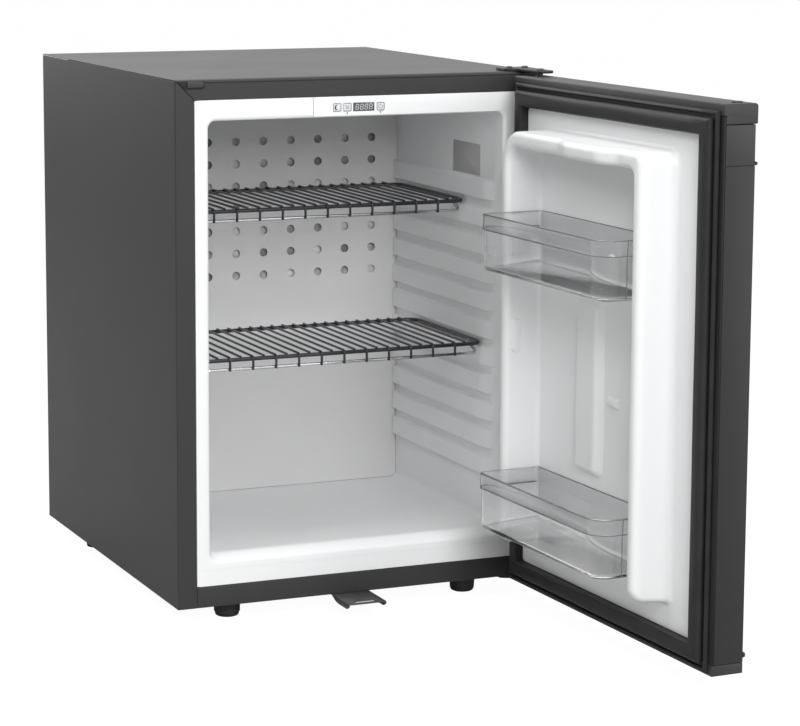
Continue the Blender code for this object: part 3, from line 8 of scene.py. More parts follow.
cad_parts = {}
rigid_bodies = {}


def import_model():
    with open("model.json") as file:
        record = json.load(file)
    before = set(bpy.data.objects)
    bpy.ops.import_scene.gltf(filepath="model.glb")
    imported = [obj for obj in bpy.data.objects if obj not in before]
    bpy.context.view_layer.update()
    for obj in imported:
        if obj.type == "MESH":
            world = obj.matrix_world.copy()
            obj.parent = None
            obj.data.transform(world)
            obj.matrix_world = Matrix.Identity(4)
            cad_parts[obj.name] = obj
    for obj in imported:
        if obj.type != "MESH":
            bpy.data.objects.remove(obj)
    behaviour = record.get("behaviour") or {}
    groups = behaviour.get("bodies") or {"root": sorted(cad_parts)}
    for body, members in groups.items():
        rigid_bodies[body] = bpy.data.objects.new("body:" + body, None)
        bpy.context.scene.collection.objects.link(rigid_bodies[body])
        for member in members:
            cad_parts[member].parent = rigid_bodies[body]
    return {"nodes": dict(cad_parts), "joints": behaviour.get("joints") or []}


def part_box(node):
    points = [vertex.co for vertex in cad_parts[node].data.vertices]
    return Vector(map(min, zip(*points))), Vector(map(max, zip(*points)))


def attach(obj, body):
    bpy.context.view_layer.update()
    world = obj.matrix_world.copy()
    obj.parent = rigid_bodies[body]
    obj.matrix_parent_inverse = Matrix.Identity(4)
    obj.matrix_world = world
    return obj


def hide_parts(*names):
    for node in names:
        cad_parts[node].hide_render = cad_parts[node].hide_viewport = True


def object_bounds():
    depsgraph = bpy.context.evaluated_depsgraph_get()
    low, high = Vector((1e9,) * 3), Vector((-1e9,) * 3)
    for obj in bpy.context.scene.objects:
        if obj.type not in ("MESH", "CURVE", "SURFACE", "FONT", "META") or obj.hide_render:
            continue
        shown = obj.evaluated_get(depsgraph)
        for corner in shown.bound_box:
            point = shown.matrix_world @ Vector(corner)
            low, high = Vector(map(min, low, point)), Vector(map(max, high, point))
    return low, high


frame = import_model()
CAD_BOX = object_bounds()

# the cabinet's own corner: left outer face, front face, underside
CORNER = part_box("side_panel_left")[0]
JOINTS = {joint["name"]: joint for joint in frame["joints"]}
PIVOT = Vector(JOINTS["door_hinge"]["pos_m"]) - CORNER
DOOR_ANGLE = math.radians(91.8)
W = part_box("side_panel_right")[1].x - CORNER.x
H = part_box("top_panel")[1].z - CORNER.z
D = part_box("side_panel_right")[1].y - CORNER.y

# places in the cabinet, from its corner, in metres
FRAME_W = 0.0204
SILL_H = 0.0217
OPEN_X = (0.0358, 0.3626)
OPEN_Z = (0.0545, 0.4982)
LINER_CORNER = 0.008
BACK_Y = 0.275
GROOVES = 10
GROOVE_PITCH = 0.0297
GROOVE_TOP = 0.402
GROOVE_H = 0.0085
PAD = 0.0050
PAD_START = 0.008
PAD_FULL = 0.042
PAD_END = 0.0212
PAD_SOFT = 0.0022
MOUTH_DROP = 0.006
LINER_DEPTH = 0.318
STATIONS = (0.006, 0.008, 0.010, 0.0125, 0.015, 0.018, 0.021, 0.024, 0.028, 0.032, 0.036, 0.040, 0.0425,
            0.046, 0.10, 0.16, 0.22, BACK_Y - 0.001)
PLATE_Y = (0.055, 0.123)
PLATE_Z = (0.4255, 0.459)
COLD_PLATE_Z = (0.278, 0.470)
SHELF_DEPTH = 0.180
FOOT_LOW = -0.020
FRONT_FOOT = (0.066, 0.036)
REAR_FOOT = (0.030, 0.372)
GAP = 0.0003

# the control panel: left end, underside, buttons as (node, left side, width), display, moving bodies
FASCIA_X = 0.1478
FASCIA_Z = OPEN_Z[1] + 0.0012
BUTTON_Z = (0.5040, 0.5123)
BUTTONS = (("button_eco", 0.1698, 0.0089), ("button_temperature", 0.1810, 0.0089),
           ("button_power", 0.2181, 0.0084))
DISPLAY_X = (0.1922, 0.2152)
KEY_BODY = {"button_eco": "eco_button", "button_temperature": "temperature_button",
            "button_power": "power_button"}

# places on the shut door, from the cabinet's corner
DOOR_IN = -0.010
DOOR_OUT = -0.044
DOOR_Z = (0.003, 0.537)
PAN_Z = (0.013, 0.518)
CAP_PROUD = 0.0025
CAP_LIP = 0.526
FOAM_FACE = -0.0124
GASKET_INNER = 0.0303
DYKE = 0.040
COLUMN_FREE = (0.074, 0.094)
COLUMN_HINGE = (0.341, 0.360)
DYKE_Z = (0.0485, 0.487)
CROSSBAR_LOW = 0.470
END_RISE = 0.007
END_DRAFT = 0.003
END_ROUND = 0.014
END_CORNER = 0.0066
GASKET_DROP = 0.004
BIN_TOPS = (0.404, 0.137)
BIN_BAND = 0.0165
BIN_LOWS = (0.3455, 0.078)
BIN_SIDE = 0.0025 + GAP * 1.5
SPARE_LUG_TOP = 0.293
GRIP = (0.116, 0.241)
SPARE_HINGE_X = 0.014

# the photograph's camera, from the cabinet's corner
CAMERA_PLACE = Vector((-0.8800, -2.5406, 0.7297))
CAMERA_YAW = 0.3990
CAMERA_PITCH = 0.1509
CAMERA_ROLL = 0.0029
CAMERA_LENS = 121.94
CAMERA_SHIFT = (0.06, -0.08)

# light: lamps as (name, place, size in metres, watts)
LAMPS = (("key", (-0.50, -3.0, 1.75), 1.6, 78.0), ("fill", (1.9, -2.8, 0.8), 1.8, 24.0),
         ("top", (0.1, 0.1, 2.6), 1.8, 32.0), ("back", (-0.8, 2.6, 1.4), 2.0, 22.0),
         ("left", (-2.0, -0.3, 2.6), 1.2, 14.0))
SCATTERED_LIGHT = 0.36
FLOOR_GLOW = 1.17
FLOOR_GLOW_SHARE = 0.82


def feed(tree, socket, value):
    """Link a socket or set its value; a colour's alpha is 1."""
    value = getattr(value, "socket", value)
    if isinstance(value, bpy.types.NodeSocket):
        tree.links.new(value, socket)
    else:
        socket.default_value = (*value[:3], 1.0) if socket.type == "RGBA" else value


def wired(tree, kind, inputs=None, output=0, **settings):
    """An output of a new node with its settings and the values or links of its sockets."""
    node = tree.nodes.new(tree.bl_idname[:-4] + kind)
    for key, value in settings.items():
        setattr(node, key, value)
    for key, value in (inputs or {}).items():
        feed(tree, node.inputs[key], value)
    return node.outputs[output]


class Value:
    """A shader socket with arithmetic: an expression on values adds its Math nodes."""

    def __init__(self, finish, socket):
        self.finish = finish
        self.socket = socket

    def math(self, operation, other):
        return self.finish.node("Math", {0: self, 1: other}, operation=operation)

    def __add__(self, other):
        return self.math("ADD", other)

    def __mul__(self, other):
        return self.math("MULTIPLY", other)

    def __sub__(self, other):
        return self.math("SUBTRACT", other)

    def __gt__(self, other):
        return self.math("GREATER_THAN", other)

    def __lt__(self, other):
        return self.math("LESS_THAN", other)


class Finish:
    """A material under construction, on Object coordinates."""

    def __init__(self, name):
        self.material = bpy.data.materials.new(name)
        self.material.use_nodes = True
        self.tree = self.material.node_tree
        self.shader = self.tree.nodes["Principled BSDF"]
        self.place = self.node("TexCoord", output="Object")

    def node(self, kind, inputs=None, output=0, **settings):
        return Value(self, wired(self.tree, kind, inputs, output, **settings))

    def set(self, **sockets):
        for name, value in sockets.items():
            feed(self.tree, self.shader.inputs[name.replace("_", " ")], value)

    def noise(self, scale, detail=2.0, roughness=0.5, stretch=None):
        place = self.place
        if stretch:
            place = self.node("Mapping", {"Vector": place, "Scale": stretch})
        inputs = {"Vector": place, "Scale": scale, "Detail": detail, "Roughness": roughness}
        return self.node("TexNoise", inputs)

    def cells(self, scale):
        return self.node("TexVoronoi", {"Vector": self.place, "Scale": scale}, "Distance")

    def blend(self, factor, first, second):
        """A colour between two colours."""
        return self.node("Mix", {"Factor": factor, 6: first, 7: second}, 2, data_type="RGBA")

    def bump(self, height, distance, strength):
        return self.node("Bump", {"Height": height, "Distance": distance, "Strength": strength})


def scaled(colour, factor):
    return tuple(channel * factor for channel in colour)


def painted_steel(name, colour, roughness=0.40, peel=0.00004, specular=0.25):
    """Powder-coated sheet: faint orange peel and a little cloudiness in the gloss."""
    finish = Finish(name)
    cloud = finish.noise(9.0, 3.0)
    grain = finish.noise(1400.0, 2.0)
    finish.set(Base_Color=finish.blend(cloud, scaled(colour, 0.94), scaled(colour, 1.06)),
               Roughness=cloud * 0.08 + (roughness - 0.04),
               Normal=finish.bump(grain, peel, 0.6), Specular_IOR_Level=specular)
    return finish.material


def moulded(name, colour, roughness=0.45, grain=0.00003, scale=2200.0, variation=0.03, specular=0.5):
    """Moulded plastic with a fine spark-eroded grain."""
    finish = Finish(name)
    cloud = finish.noise(14.0, 2.0)
    fine = finish.noise(scale, 3.0)
    finish.set(Base_Color=finish.blend(cloud, scaled(colour, 1 - variation), scaled(colour, 1 + variation)),
               Roughness=fine * 0.10 + (roughness - 0.05),
               Normal=finish.bump(fine, grain, 0.5), Specular_IOR_Level=specular)
    return finish.material


def sheet_metal(name, colour, roughness=0.40, spangle=60.0):
    """Galvanised or rolled metal: spangles that differ a little in tone and gloss."""
    finish = Finish(name)
    cells = finish.cells(spangle)
    drawn = finish.noise(220.0, 3.0, stretch=(1.0, 1.0, 0.08))
    finish.set(Base_Color=finish.blend(cells, scaled(colour, 0.90), scaled(colour, 1.08)),
               Roughness=drawn * 0.14 + (roughness - 0.07), Metallic=1.0,
               Normal=finish.bump(drawn, 0.00003, 0.5))
    return finish.material


def plated_wire(name, colour, roughness=0.20, metallic=0.9):
    """Plated or lacquered wire with faint drawing marks."""
    finish = Finish(name)
    marks = finish.noise(600.0, 2.0)
    finish.set(Base_Color=finish.blend(marks, scaled(colour, 0.85), scaled(colour, 1.12)),
               Roughness=marks * 0.12 + (roughness - 0.06), Metallic=metallic)
    return finish.material


def clear_plastic(name):
    """Clear injection-moulded plastic, faintly grey, with moulding haze."""
    finish = Finish(name)
    haze = finish.noise(40.0, 2.0)
    height = finish.node("SeparateXYZ", {"Vector": finish.place}, "Z") - CORNER.z
    band = 0.0
    for top in BIN_TOPS:
        band = (height > top - BIN_BAND) * (height < top + 0.001) + band
    finish.set(Base_Color=finish.blend(haze - band * 0.8, (0.955, 0.957, 0.96), (0.99, 0.99, 0.99)),
               Roughness=haze * 0.04 + band * 0.12 + 0.01, IOR=1.46, Transmission_Weight=1.0)
    return finish.material


def cavity_shade_painted(name):
    """Cold plate behind the round holes: patches from mid to light grey, painted light and shade that give
    each hole's back its own brightness.
    """
    finish = Finish(name)
    patches = finish.noise(26.0, 2.0, 0.6)
    spread = finish.node("MapRange", {"Value": patches, "From Min": 0.36, "From Max": 0.64})
    finish.set(Base_Color=finish.blend(spread, (0.26, 0.26, 0.265), (0.88, 0.88, 0.885)), Roughness=0.5)
    return finish.material


def rubber(name, colour=(0.016, 0.016, 0.017), roughness=0.55, specular=0.5):
    """Soft rubber with a fine, uneven bloom."""
    finish = Finish(name)
    cloud = finish.noise(35.0, 3.0)
    fine = finish.noise(900.0, 2.0)
    finish.set(Base_Color=finish.blend(cloud, scaled(colour, 0.8), scaled(colour, 1.5)),
               Roughness=cloud * 0.16 + (roughness - 0.08), Normal=finish.bump(fine, 0.00004, 0.4),
               Specular_IOR_Level=specular)
    return finish.material


def foam(name):
    """Dark grey foam with open cells at its cut faces; its dark grey is painted shade for the gaps between
    parts where the foam shows through.
    """
    finish = Finish(name)
    cells = finish.cells(500.0)
    finish.set(Base_Color=finish.blend(cells, (0.028, 0.028, 0.029), (0.075, 0.076, 0.080)),
               Roughness=0.9, Normal=finish.bump(cells, 0.0004, 0.6))
    return finish.material


def circuit_board(name):
    """Green board with solder-mask traces."""
    finish = Finish(name)
    traces = finish.node("TexWave", {"Vector": finish.place, "Scale": 260.0, "Distortion": 3.0}, "Fac",
                         bands_direction="DIAGONAL")
    finish.set(Base_Color=finish.blend(traces > 0.72, (0.02, 0.14, 0.06), (0.06, 0.30, 0.12)), Roughness=0.45)
    return finish.material


def display_glass(name):
    finish = Finish(name)
    smear = finish.noise(120.0, 2.0)
    finish.set(Base_Color=finish.blend(smear, (0.070, 0.072, 0.078), (0.090, 0.093, 0.100)),
               Roughness=smear * 0.08 + 0.12, Coat_Weight=0.5)
    return finish.material


def printed(name, colour, glow=0.0):
    """Printed mark or display segment with a slightly uneven edge of ink; a glow, where given, is painted
    light.
    """
    finish = Finish(name)
    ink = finish.noise(900.0, 2.0)
    tone = finish.blend(ink, scaled(colour, 0.9), scaled(colour, 1.05))
    finish.set(Base_Color=tone, Roughness=0.5)
    if glow:
        finish.set(Emission_Color=tone, Emission_Strength=glow)
    return finish.material


# each finish: the CAD's material slot and the visible material
FINISHES = {
    "dark_paint": ("dark_paint", painted_steel("dark painted steel", (0.034, 0.034, 0.035), 0.42)),
    "door_paint": ("dark_paint", painted_steel("dark painted door sheet", (0.023, 0.023, 0.024), 0.42)),
    "black_paint": ("black_paint", painted_steel("black painted steel", (0.014, 0.014, 0.015), 0.42)),
    "dark_plastic": ("dark_plastic", moulded("dark textured plastic", (0.020, 0.020, 0.021), 0.50, 0.00007,
                                             900.0, 0.03, 0.45)),
    # the frame plastic is darker than the other trim: painted shade of the recess between the door's edge and
    # the gasket
    "frame_plastic": ("dark_plastic", moulded("frame plastic with painted recess shade", (0.007, 0.007, 0.007), specular=0.25)),
    "liner": ("white_plastic", moulded("white liner", (0.80, 0.805, 0.81), 0.34, 0.00001, 1500.0, 0.012)),
    "door_liner": ("white_plastic", moulded("white door liner", (0.78, 0.785, 0.79), 0.32, 0.00001, 1500.0,
                                            0.012)),
    "fascia": ("white_plastic", moulded("white fascia", (0.80, 0.805, 0.81), 0.40, 0.00002, 1800.0, 0.01)),
    "button": ("grey_plastic", moulded("button", (0.70, 0.71, 0.72), 0.42, 0.00001, 1800.0, 0.01)),
    "back_panel": ("grey_plastic", painted_steel("light grey back sheet", (0.62, 0.62, 0.625), 0.38, 0.00002,
                                                 0.5)),
    # the cold plate's grey patches are painted light and shade
    "cold_plate": ("grey_plastic", cavity_shade_painted("cold plate with painted cavity shade")),
    "clear_plastic": ("clear_plastic", clear_plastic("clear plastic")),
    "shelf_wire": ("shelf_wire", plated_wire("dark plated wire", (0.040, 0.041, 0.047), 0.20, 0.5)),
    "lip_wire": ("shelf_wire", plated_wire("bright plated wire", (0.62, 0.62, 0.63), 0.16, 1.0)),
    "steel": ("steel", plated_wire("steel", (0.50, 0.50, 0.51), 0.30, 1.0)),
    "zinc": ("zinc_sheet", sheet_metal("zinc-coated sheet", (0.60, 0.61, 0.62), 0.42)),
    "aluminium": ("aluminium", sheet_metal("aluminium", (0.72, 0.73, 0.74), 0.36, 20.0)),
    "rubber": ("rubber", rubber("rubber")),
    "gasket": ("rubber", rubber("gasket", (0.021, 0.021, 0.021), 0.42, 0.15)),
    "dark_steel": ("steel", plated_wire("blackened steel", (0.045, 0.045, 0.047), 0.35, 0.6)),
    "strike": ("steel", plated_wire("phosphated steel", (0.085, 0.085, 0.088), 0.45, 0.4)),
    # dark tubes at the bins' clear edges: painted shade for the dark lines that refraction draws there
    "painted_edge_shade": ("clear_plastic", plated_wire("painted dark edge line", (0.14, 0.145, 0.15), 0.18, 0.0)),
    "bush": ("grey_plastic", moulded("grey bush plastic", (0.45, 0.45, 0.46))),
    # the foam's dark grey is painted shade in the gaps where it shows
    "foam": ("foam", foam("foam")),
    "board": ("circuit_board", circuit_board("circuit board")),
    "display": ("display", display_glass("display glass")),
    # the digits' faint glow is painted light: the segments are unlit
    "digits": ("display", printed("display digits", (0.60, 0.61, 0.62), 0.22)),
    "ink": ("dark_plastic", printed("black ink", (0.016, 0.016, 0.017))),
    "grey_ink": ("dark_plastic", printed("grey ink", (0.13, 0.13, 0.135))),
    "lamp": ("display", printed("indicator lamp", (0.020, 0.020, 0.022))),
    "plate": ("white_plastic", moulded("bare plate", (0.40, 0.40, 0.405), 0.34, 0.00001, 1500.0, 0.03)),
}
ON_DOOR = {"door", "upper_bin", "lower_bin", "lock_cylinder", "lock_bolt"}


def arc(centre, radius, start_deg, end_deg, steps):
    angles = [math.radians(start_deg + (end_deg - start_deg) * i / steps) for i in range(steps + 1)]
    return [(centre[0] + radius * math.cos(a), centre[1] + radius * math.sin(a)) for a in angles]


def quarter(steps):
    """Angles of a quarter turn."""
    return [math.pi / 2 * k / steps for k in range(steps + 1)]


def circle(centre, radius, sides, turn_deg=0.0):
    return arc(centre, radius, turn_deg, turn_deg + 360.0 - 360.0 / sides, sides - 1)


def outline(corners, insets, radii, steps=5):
    """A closed outline with every edge moved in and every corner rounded.

    Corners go counter-clockwise; edge i starts at corner i. The count of points stays the same
    for all insets, so that outlines can be lofted.
    """
    count = len(corners)
    if not isinstance(insets, (tuple, list)):
        insets = [insets] * count
    if not isinstance(radii, (tuple, list)):
        radii = [radii] * count
    corners = [Vector(c) for c in corners]
    lines = []
    for i in range(count):
        along = (corners[(i + 1) % count] - corners[i]).normalized()
        inward = Vector((-along.y, along.x))
        lines.append((corners[i] + inward * insets[i], along))
    points = []
    for i in range(count):
        (p, a), (q, b) = lines[i - 1], lines[i]
        turn = a.x * b.y - a.y * b.x
        corner = p + a * ((q - p).x * b.y - (q - p).y * b.x) / turn
        inset = (insets[i - 1] + insets[i]) / 2
        radius = max(0.0003, radii[i] - inset if turn > 0 else radii[i] + inset)
        half = math.acos(max(-1.0, min(1.0, -a.dot(b)))) / 2
        reach = radius / math.tan(half)
        middle = corner + (b - a).normalized() * (radius / math.sin(half))
        first, last = corner - a * reach - middle, corner + b * reach - middle
        sweep = first.angle_signed(last)
        for k in range(steps + 1):
            angle = -sweep * k / steps
            points.append((middle.x + first.x * math.cos(angle) - first.y * math.sin(angle),
                           middle.y + first.x * math.sin(angle) + first.y * math.cos(angle)))
    return points


def rectangle(u, v):
    return [(u[0], v[0]), (u[1], v[0]), (u[1], v[1]), (u[0], v[1])]


def grown(span, margin):
    return (span[0] - margin, span[1] + margin)


def skin(bm, ring, following):
    """Four-sided faces between two rings of equal count."""
    for k in range(len(ring)):
        m = (k + 1) % len(ring)
        bm.faces.new((ring[k], ring[m], following[m], following[k]))


def stacked(rings, closed=False):
    """A solid from rings of equal count, with its ends closed unless it runs back into itself."""
    bm = bmesh.new()
    made = [[bm.verts.new(p) for p in ring] for ring in rings]
    pairs = list(zip(made, made[1:]))
    if closed:
        pairs.append((made[-1], made[0]))
    else:
        bm.faces.new(reversed(made[0]))
        bm.faces.new(made[-1])
    for ring, following in pairs:
        skin(bm, ring, following)
    return bm


def along(axis, u, v, w):
    """A point from two outline coordinates and a height on an axis."""
    return {"X": (w, u, v), "Y": (u, w, v), "Z": (u, v, w)}[axis]


def block(corners, low, high, axis="Z", edge=0.0006, radii=0.0, steps=4, rounds=3):
    """A prism with rounded corners and rounded rims at both ends."""
    rim = [(low + edge * (1 - math.cos(a)), edge * (1 - math.sin(a))) for a in quarter(rounds)]
    levels = rim + [(high - (h - low), inset) for h, inset in reversed(rim)]
    if not isinstance(radii, (tuple, list)):
        radii = max(radii, edge)
    return mound(corners, levels, radii, axis, steps)


def mound(corners, levels, radii, axis="Y", steps=6):
    """A raised form: levels are (height on the axis, inset of its edges)."""
    rings = [[along(axis, u, v, w) for u, v in outline(corners, i, radii, steps)] for w, i in levels]
    return stacked(rings)


def fillet(points, radius, steps=5):
    """Round the inner corners of a 3-D path."""
    path = [Vector(points[0])]
    for before, corner, after in zip(points, points[1:], points[2:]):
        corner = Vector(corner)
        back = (Vector(before) - corner).normalized()
        onward = (Vector(after) - corner).normalized()
        half = back.angle(onward) / 2
        reach = radius / math.tan(half)
        middle = corner + (back + onward).normalized() * (radius / math.sin(half))
        first = (corner + back * reach - middle).normalized()
        last = (corner + onward * reach - middle).normalized()
        for i in range(steps + 1):
            path.append(middle + first.slerp(last, i / steps) * radius)
    path.append(Vector(points[-1]))
    return path


def tube(path, radius, sides=12, closed=False):
    """A round bar along a path."""
    path = [Vector(p) for p in path]
    count = len(path)
    rings = []
    across = None
    for i, point in enumerate(path):
        ahead = path[(i + 1) % count] if closed or i + 1 < count else point
        behind = path[i - 1] if closed or i > 0 else point
        tangent = ((ahead - point).normalized() + (point - behind).normalized()).normalized()
        if across is None:
            guide = Vector((0, 0, 1)) if abs(tangent.z) < 0.9 else Vector((0, 1, 0))
            across = tangent.cross(guide).normalized()
        across = (across - tangent * across.dot(tangent)).normalized()
        other = tangent.cross(across)
        rings.append([point + across * math.cos(a) * radius + other * math.sin(a) * radius
                      for a in (2 * math.pi * k / sides for k in range(sides))])
    return stacked(rings, closed)


def turned(profile, sides=32, centre=(0.0, 0.0), axis="Z", base=0.0):
    """Turn a (radius, height) profile about an axis; a radius of 0 closes it."""
    rings = [[along(axis, u, v, base + height) for u, v in circle(centre, max(radius, 0.00002), sides)]
             for radius, height in profile]
    return stacked(rings)


def meshed(name, bm):
    """A mesh from a bmesh, its faces turned outwards."""
    bmesh.ops.recalc_face_normals(bm, faces=bm.faces)
    mesh = bpy.data.meshes.new(name)
    bm.to_mesh(mesh)
    bm.free()
    return mesh


def together(*parts):
    """Several solids as one mesh."""
    whole = bmesh.new()
    for bm in parts:
        mesh = meshed("part", bm)
        whole.from_mesh(mesh)
        bpy.data.meshes.remove(mesh)
    return whole


def standing(name, data):
    """A new object in the scene."""
    obj = bpy.data.objects.new(name, data)
    bpy.context.scene.collection.objects.link(obj)
    return obj


def plain(obj):
    """Turn an object's modifiers into its mesh."""
    depsgraph = bpy.context.evaluated_depsgraph_get()
    result = bpy.data.meshes.new_from_object(obj.evaluated_get(depsgraph), depsgraph=depsgraph)
    obj.modifiers.clear()
    obj.data = result
    return obj


def smoothed(obj, angle_deg):
    """Smooth faces with sharp edges past an angle."""
    obj.data.shade_smooth()
    obj.data.set_sharp_from_angle(angle=math.radians(angle_deg))


def rounded(obj, edge, angle_deg, segments=2):
    """Round an object's edges past an angle."""
    rounding = obj.modifiers.new("edges", "BEVEL")
    rounding.width = edge
    rounding.segments = segments
    rounding.limit_method = "ANGLE"
    rounding.angle_limit = math.radians(angle_deg)
    rounding.harden_normals = True
    plain(obj)


def drawn(name, bm, edge=0.0, angle_deg=28.0, segments=2):
    """An object from a bmesh, smooth, with its sharp edges rounded where an edge is given."""
    mesh = meshed(name, bm)
    mesh.shade_smooth()
    obj = standing(name, mesh)
    if edge:
        rounded(obj, edge, angle_deg, segments)
    else:
        mesh.set_sharp_from_angle(angle=math.radians(angle_deg))
    return obj


def to_row(body):
    """From cabinet coordinates, door shut, to the row's, door open."""
    shift = Matrix.Translation(CORNER)
    if body not in ON_DOOR:
        return shift
    turn = Matrix.Rotation(DOOR_ANGLE, 4, "Z")
    return shift @ (Matrix.Translation(PIVOT) @ turn @ Matrix.Translation(-PIVOT))


def settle(obj, finish, *stands_for, body="cabinet", placed=False):
    """Give a piece its place, finish, body and the CAD nodes that it stands for."""
    if not placed:
        obj.data.transform(to_row(body))
    slot, material = FINISHES[finish]
    obj.data.materials.clear()
    obj.data.materials.append(material)
    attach(obj, body)
    if stands_for:
        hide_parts(*stands_for)


def made(name, bm, finish, *stands_for, body="cabinet", edge=0.0, angle_deg=28.0):
    settle(drawn(name, bm, edge, angle_deg), finish, *stands_for, body=body)


def softened(node, finish, body="cabinet", edge=0.0005, segments=2):
    """A CAD node's own shape with merged faces and rounded edges."""
    bm = bmesh.new()
    bm.from_mesh(frame["nodes"][node].data)
    bmesh.ops.remove_doubles(bm, verts=bm.verts, dist=0.00001)
    bmesh.ops.dissolve_limit(bm, angle_limit=math.radians(1.0), verts=bm.verts, edges=bm.edges)
    obj = drawn(node + "_finished", bm, edge, segments=segments)
    settle(obj, finish, node, body=body, placed=True)


def side_section(left):
    """Side wall and front stile in plan, with a rounded bend between them."""
    bend, sheet = 0.0018, 0.0010
    points = [(FRAME_W, 0.0)] + arc((bend, bend), bend, 270, 180, 6) + [(0.0, D), (sheet, D)]
    points += arc((bend, bend), bend - sheet, 180, 270, 6) + [(FRAME_W, sheet)]
    return points if left else [(W - x, y) for x, y in points]


def side_panel(left):
    """The bent side sheet; its stile is mitred below the top rail."""
    name = "side_panel_left" if left else "side_panel_right"
    top = H - 0.0013
    upper = []
    for x, y in side_section(left):
        mitre = max(0.0, (x if left else W - x) - 0.0010) if y < 0.0012 else 0.0
        upper.append((x, y, top - mitre))
    rings = [[(x, y, 0.0) for x, y, _ in upper], upper]
    made(name + "_sheet", stacked(rings), "dark_paint", name, edge=0.0004)


def top_panel():
    """Folded top with its rolled front edge and the upper rail."""
    bend = 0.0022
    front = ((0.0, FRAME_W), (0.0, 0.0044), (0.0006, 0.0039), (0.0006, 0.0034), (0.0, 0.0029))
    section = [(y, H - drop) for y, drop in front]
    section += arc((bend, H - bend), bend, 180, 90, 6)
    section += [(0.0052, H), (0.0056, H - 0.0005), (0.0066, H - 0.0005), (0.0070, H), (D, H), (D, H - 0.001)]
    section += arc((bend, H - bend), bend - 0.001, 90, 180, 6) + [(0.001, H - FRAME_W)]
    left = [(0.0004 if z > H - 0.0015 else H - z + 0.0004, y, z) for y, z in section]
    rings = [left, [(W - x, y, z) for x, y, z in left]]
    made("top_panel_sheet", stacked(rings), "dark_paint", "top_panel", edge=0.0005)


def sill_rail():
    """Rolled rail below the opening."""
    section = [(0.0, 0.0)] + arc((0.0016, SILL_H - 0.0016), 0.0016, 180, 90, 5) + [(0.016, SILL_H)]
    section += [(0.016, SILL_H - 0.001), (0.0016, SILL_H - 0.001), (0.001, SILL_H - 0.0016), (0.001, 0.0)]
    bm = stacked([[(x, y, z) for y, z in section] for x in (FRAME_W + GAP, W - FRAME_W - GAP)])
    made("sill_rail_sheet", bm, "dark_paint", "sill_rail", edge=0.0004)


def pad_spans():
    """Heights between the grooves: the raised pads on both side walls."""
    tops = [GROOVE_TOP - GROOVE_PITCH * i for i in range(GROOVES)]
    spans = [(tops[i + 1], tops[i] - GROOVE_H) for i in range(GROOVES - 1)]
    last = tops[-1] - GROOVE_H
    return sorted(spans + [(last - PAD_END, last), (tops[0], tops[0] + PAD_END)])


def ease(t):
    t = max(0.0, min(1.0, t))
    return t * t * (3 - 2 * t)


def wall_heights():
    """Heights at which the side walls are sampled, close together at every pad's edges."""
    heights = {OPEN_Z[0] + LINER_CORNER, OPEN_Z[1] - LINER_CORNER}
    for low, high in pad_spans():
        heights.add((low + high) / 2)
        for t in (0.0, 0.25, 0.5, 0.75, 1.0):
            heights |= {low + PAD_SOFT * (t - 0.35), high + PAD_SOFT * (t - 0.65)}
    return sorted(heights)


def pad_rise(y, z):
    """How far the wall stands inwards at a place."""
    run = ease((y - PAD_START) / (PAD_FULL - PAD_START))
    lift = 0.0045 * (1.0 - ease((y - PAD_START) / 0.020))
    for low, high in pad_spans():
        a = ease((z - (low + lift * 0.4 - PAD_SOFT * 0.35)) / PAD_SOFT)
        b = ease((high + lift * 0.4 + PAD_SOFT * 0.35 - z) / PAD_SOFT)
        if a > 0 and b > 0:
            return PAD * run * min(a, b)
    return 0.0


def liner_ring(y, margin, drop=0.0, pads=True):
    """One section of the compartment across its depth; margin moves it outwards."""
    x0, x1 = OPEN_X[0] - margin, OPEN_X[1] + margin
    z0, z1 = OPEN_Z[0] - margin - drop, OPEN_Z[1] + margin
    radius = LINER_CORNER + margin
    steps = 6
    heights = wall_heights()
    scale = (z1 - z0 - 2 * radius) / (heights[-1] - heights[0])
    column = [(z, z0 + radius + (z - heights[0]) * scale) for z in heights]
    ring = [(x0 + radius + (x1 - x0 - 2 * radius) * k / 8, z0) for k in range(1, 8)]
    ring += arc((x1 - radius, z0 + radius), radius, 270, 360, steps)[:-1]
    ring += [(x1 - (pad_rise(y, true) if pads else 0.0), z) for true, z in column]
    ring += arc((x1 - radius, z1 - radius), radius, 0, 90, steps)[1:]
    ring += [(x1 - radius - (x1 - x0 - 2 * radius) * k / 8, z1) for k in range(1, 8)]
    ring += arc((x0 + radius, z1 - radius), radius, 90, 180, steps)[:-1]
    ring += [(x0 + (pad_rise(y, true) if pads else 0.0), z) for true, z in reversed(column)]
    ring += arc((x0 + radius, z0 + radius), radius, 180, 270, steps)[1:]
    return [(x, y, z) for x, z in ring]


def spread(ring, target, share):
    """Move a ring towards the flange's edge rectangle by a share."""
    low, high = Vector((FRAME_W, SILL_H)), Vector((W - FRAME_W, H - FRAME_W))
    middle, half = (low + high) / 2, (high - low) / 2 - Vector((GAP, GAP))
    out = []
    for x, _, z in ring:
        dx, dz = x - middle.x, z - middle.y
        growth = share * (min(half.x / max(abs(dx), 1e-9), half.y / max(abs(dz), 1e-9)) - 1)
        out.append((x + dx * growth, target, z + dz * growth))
    return out


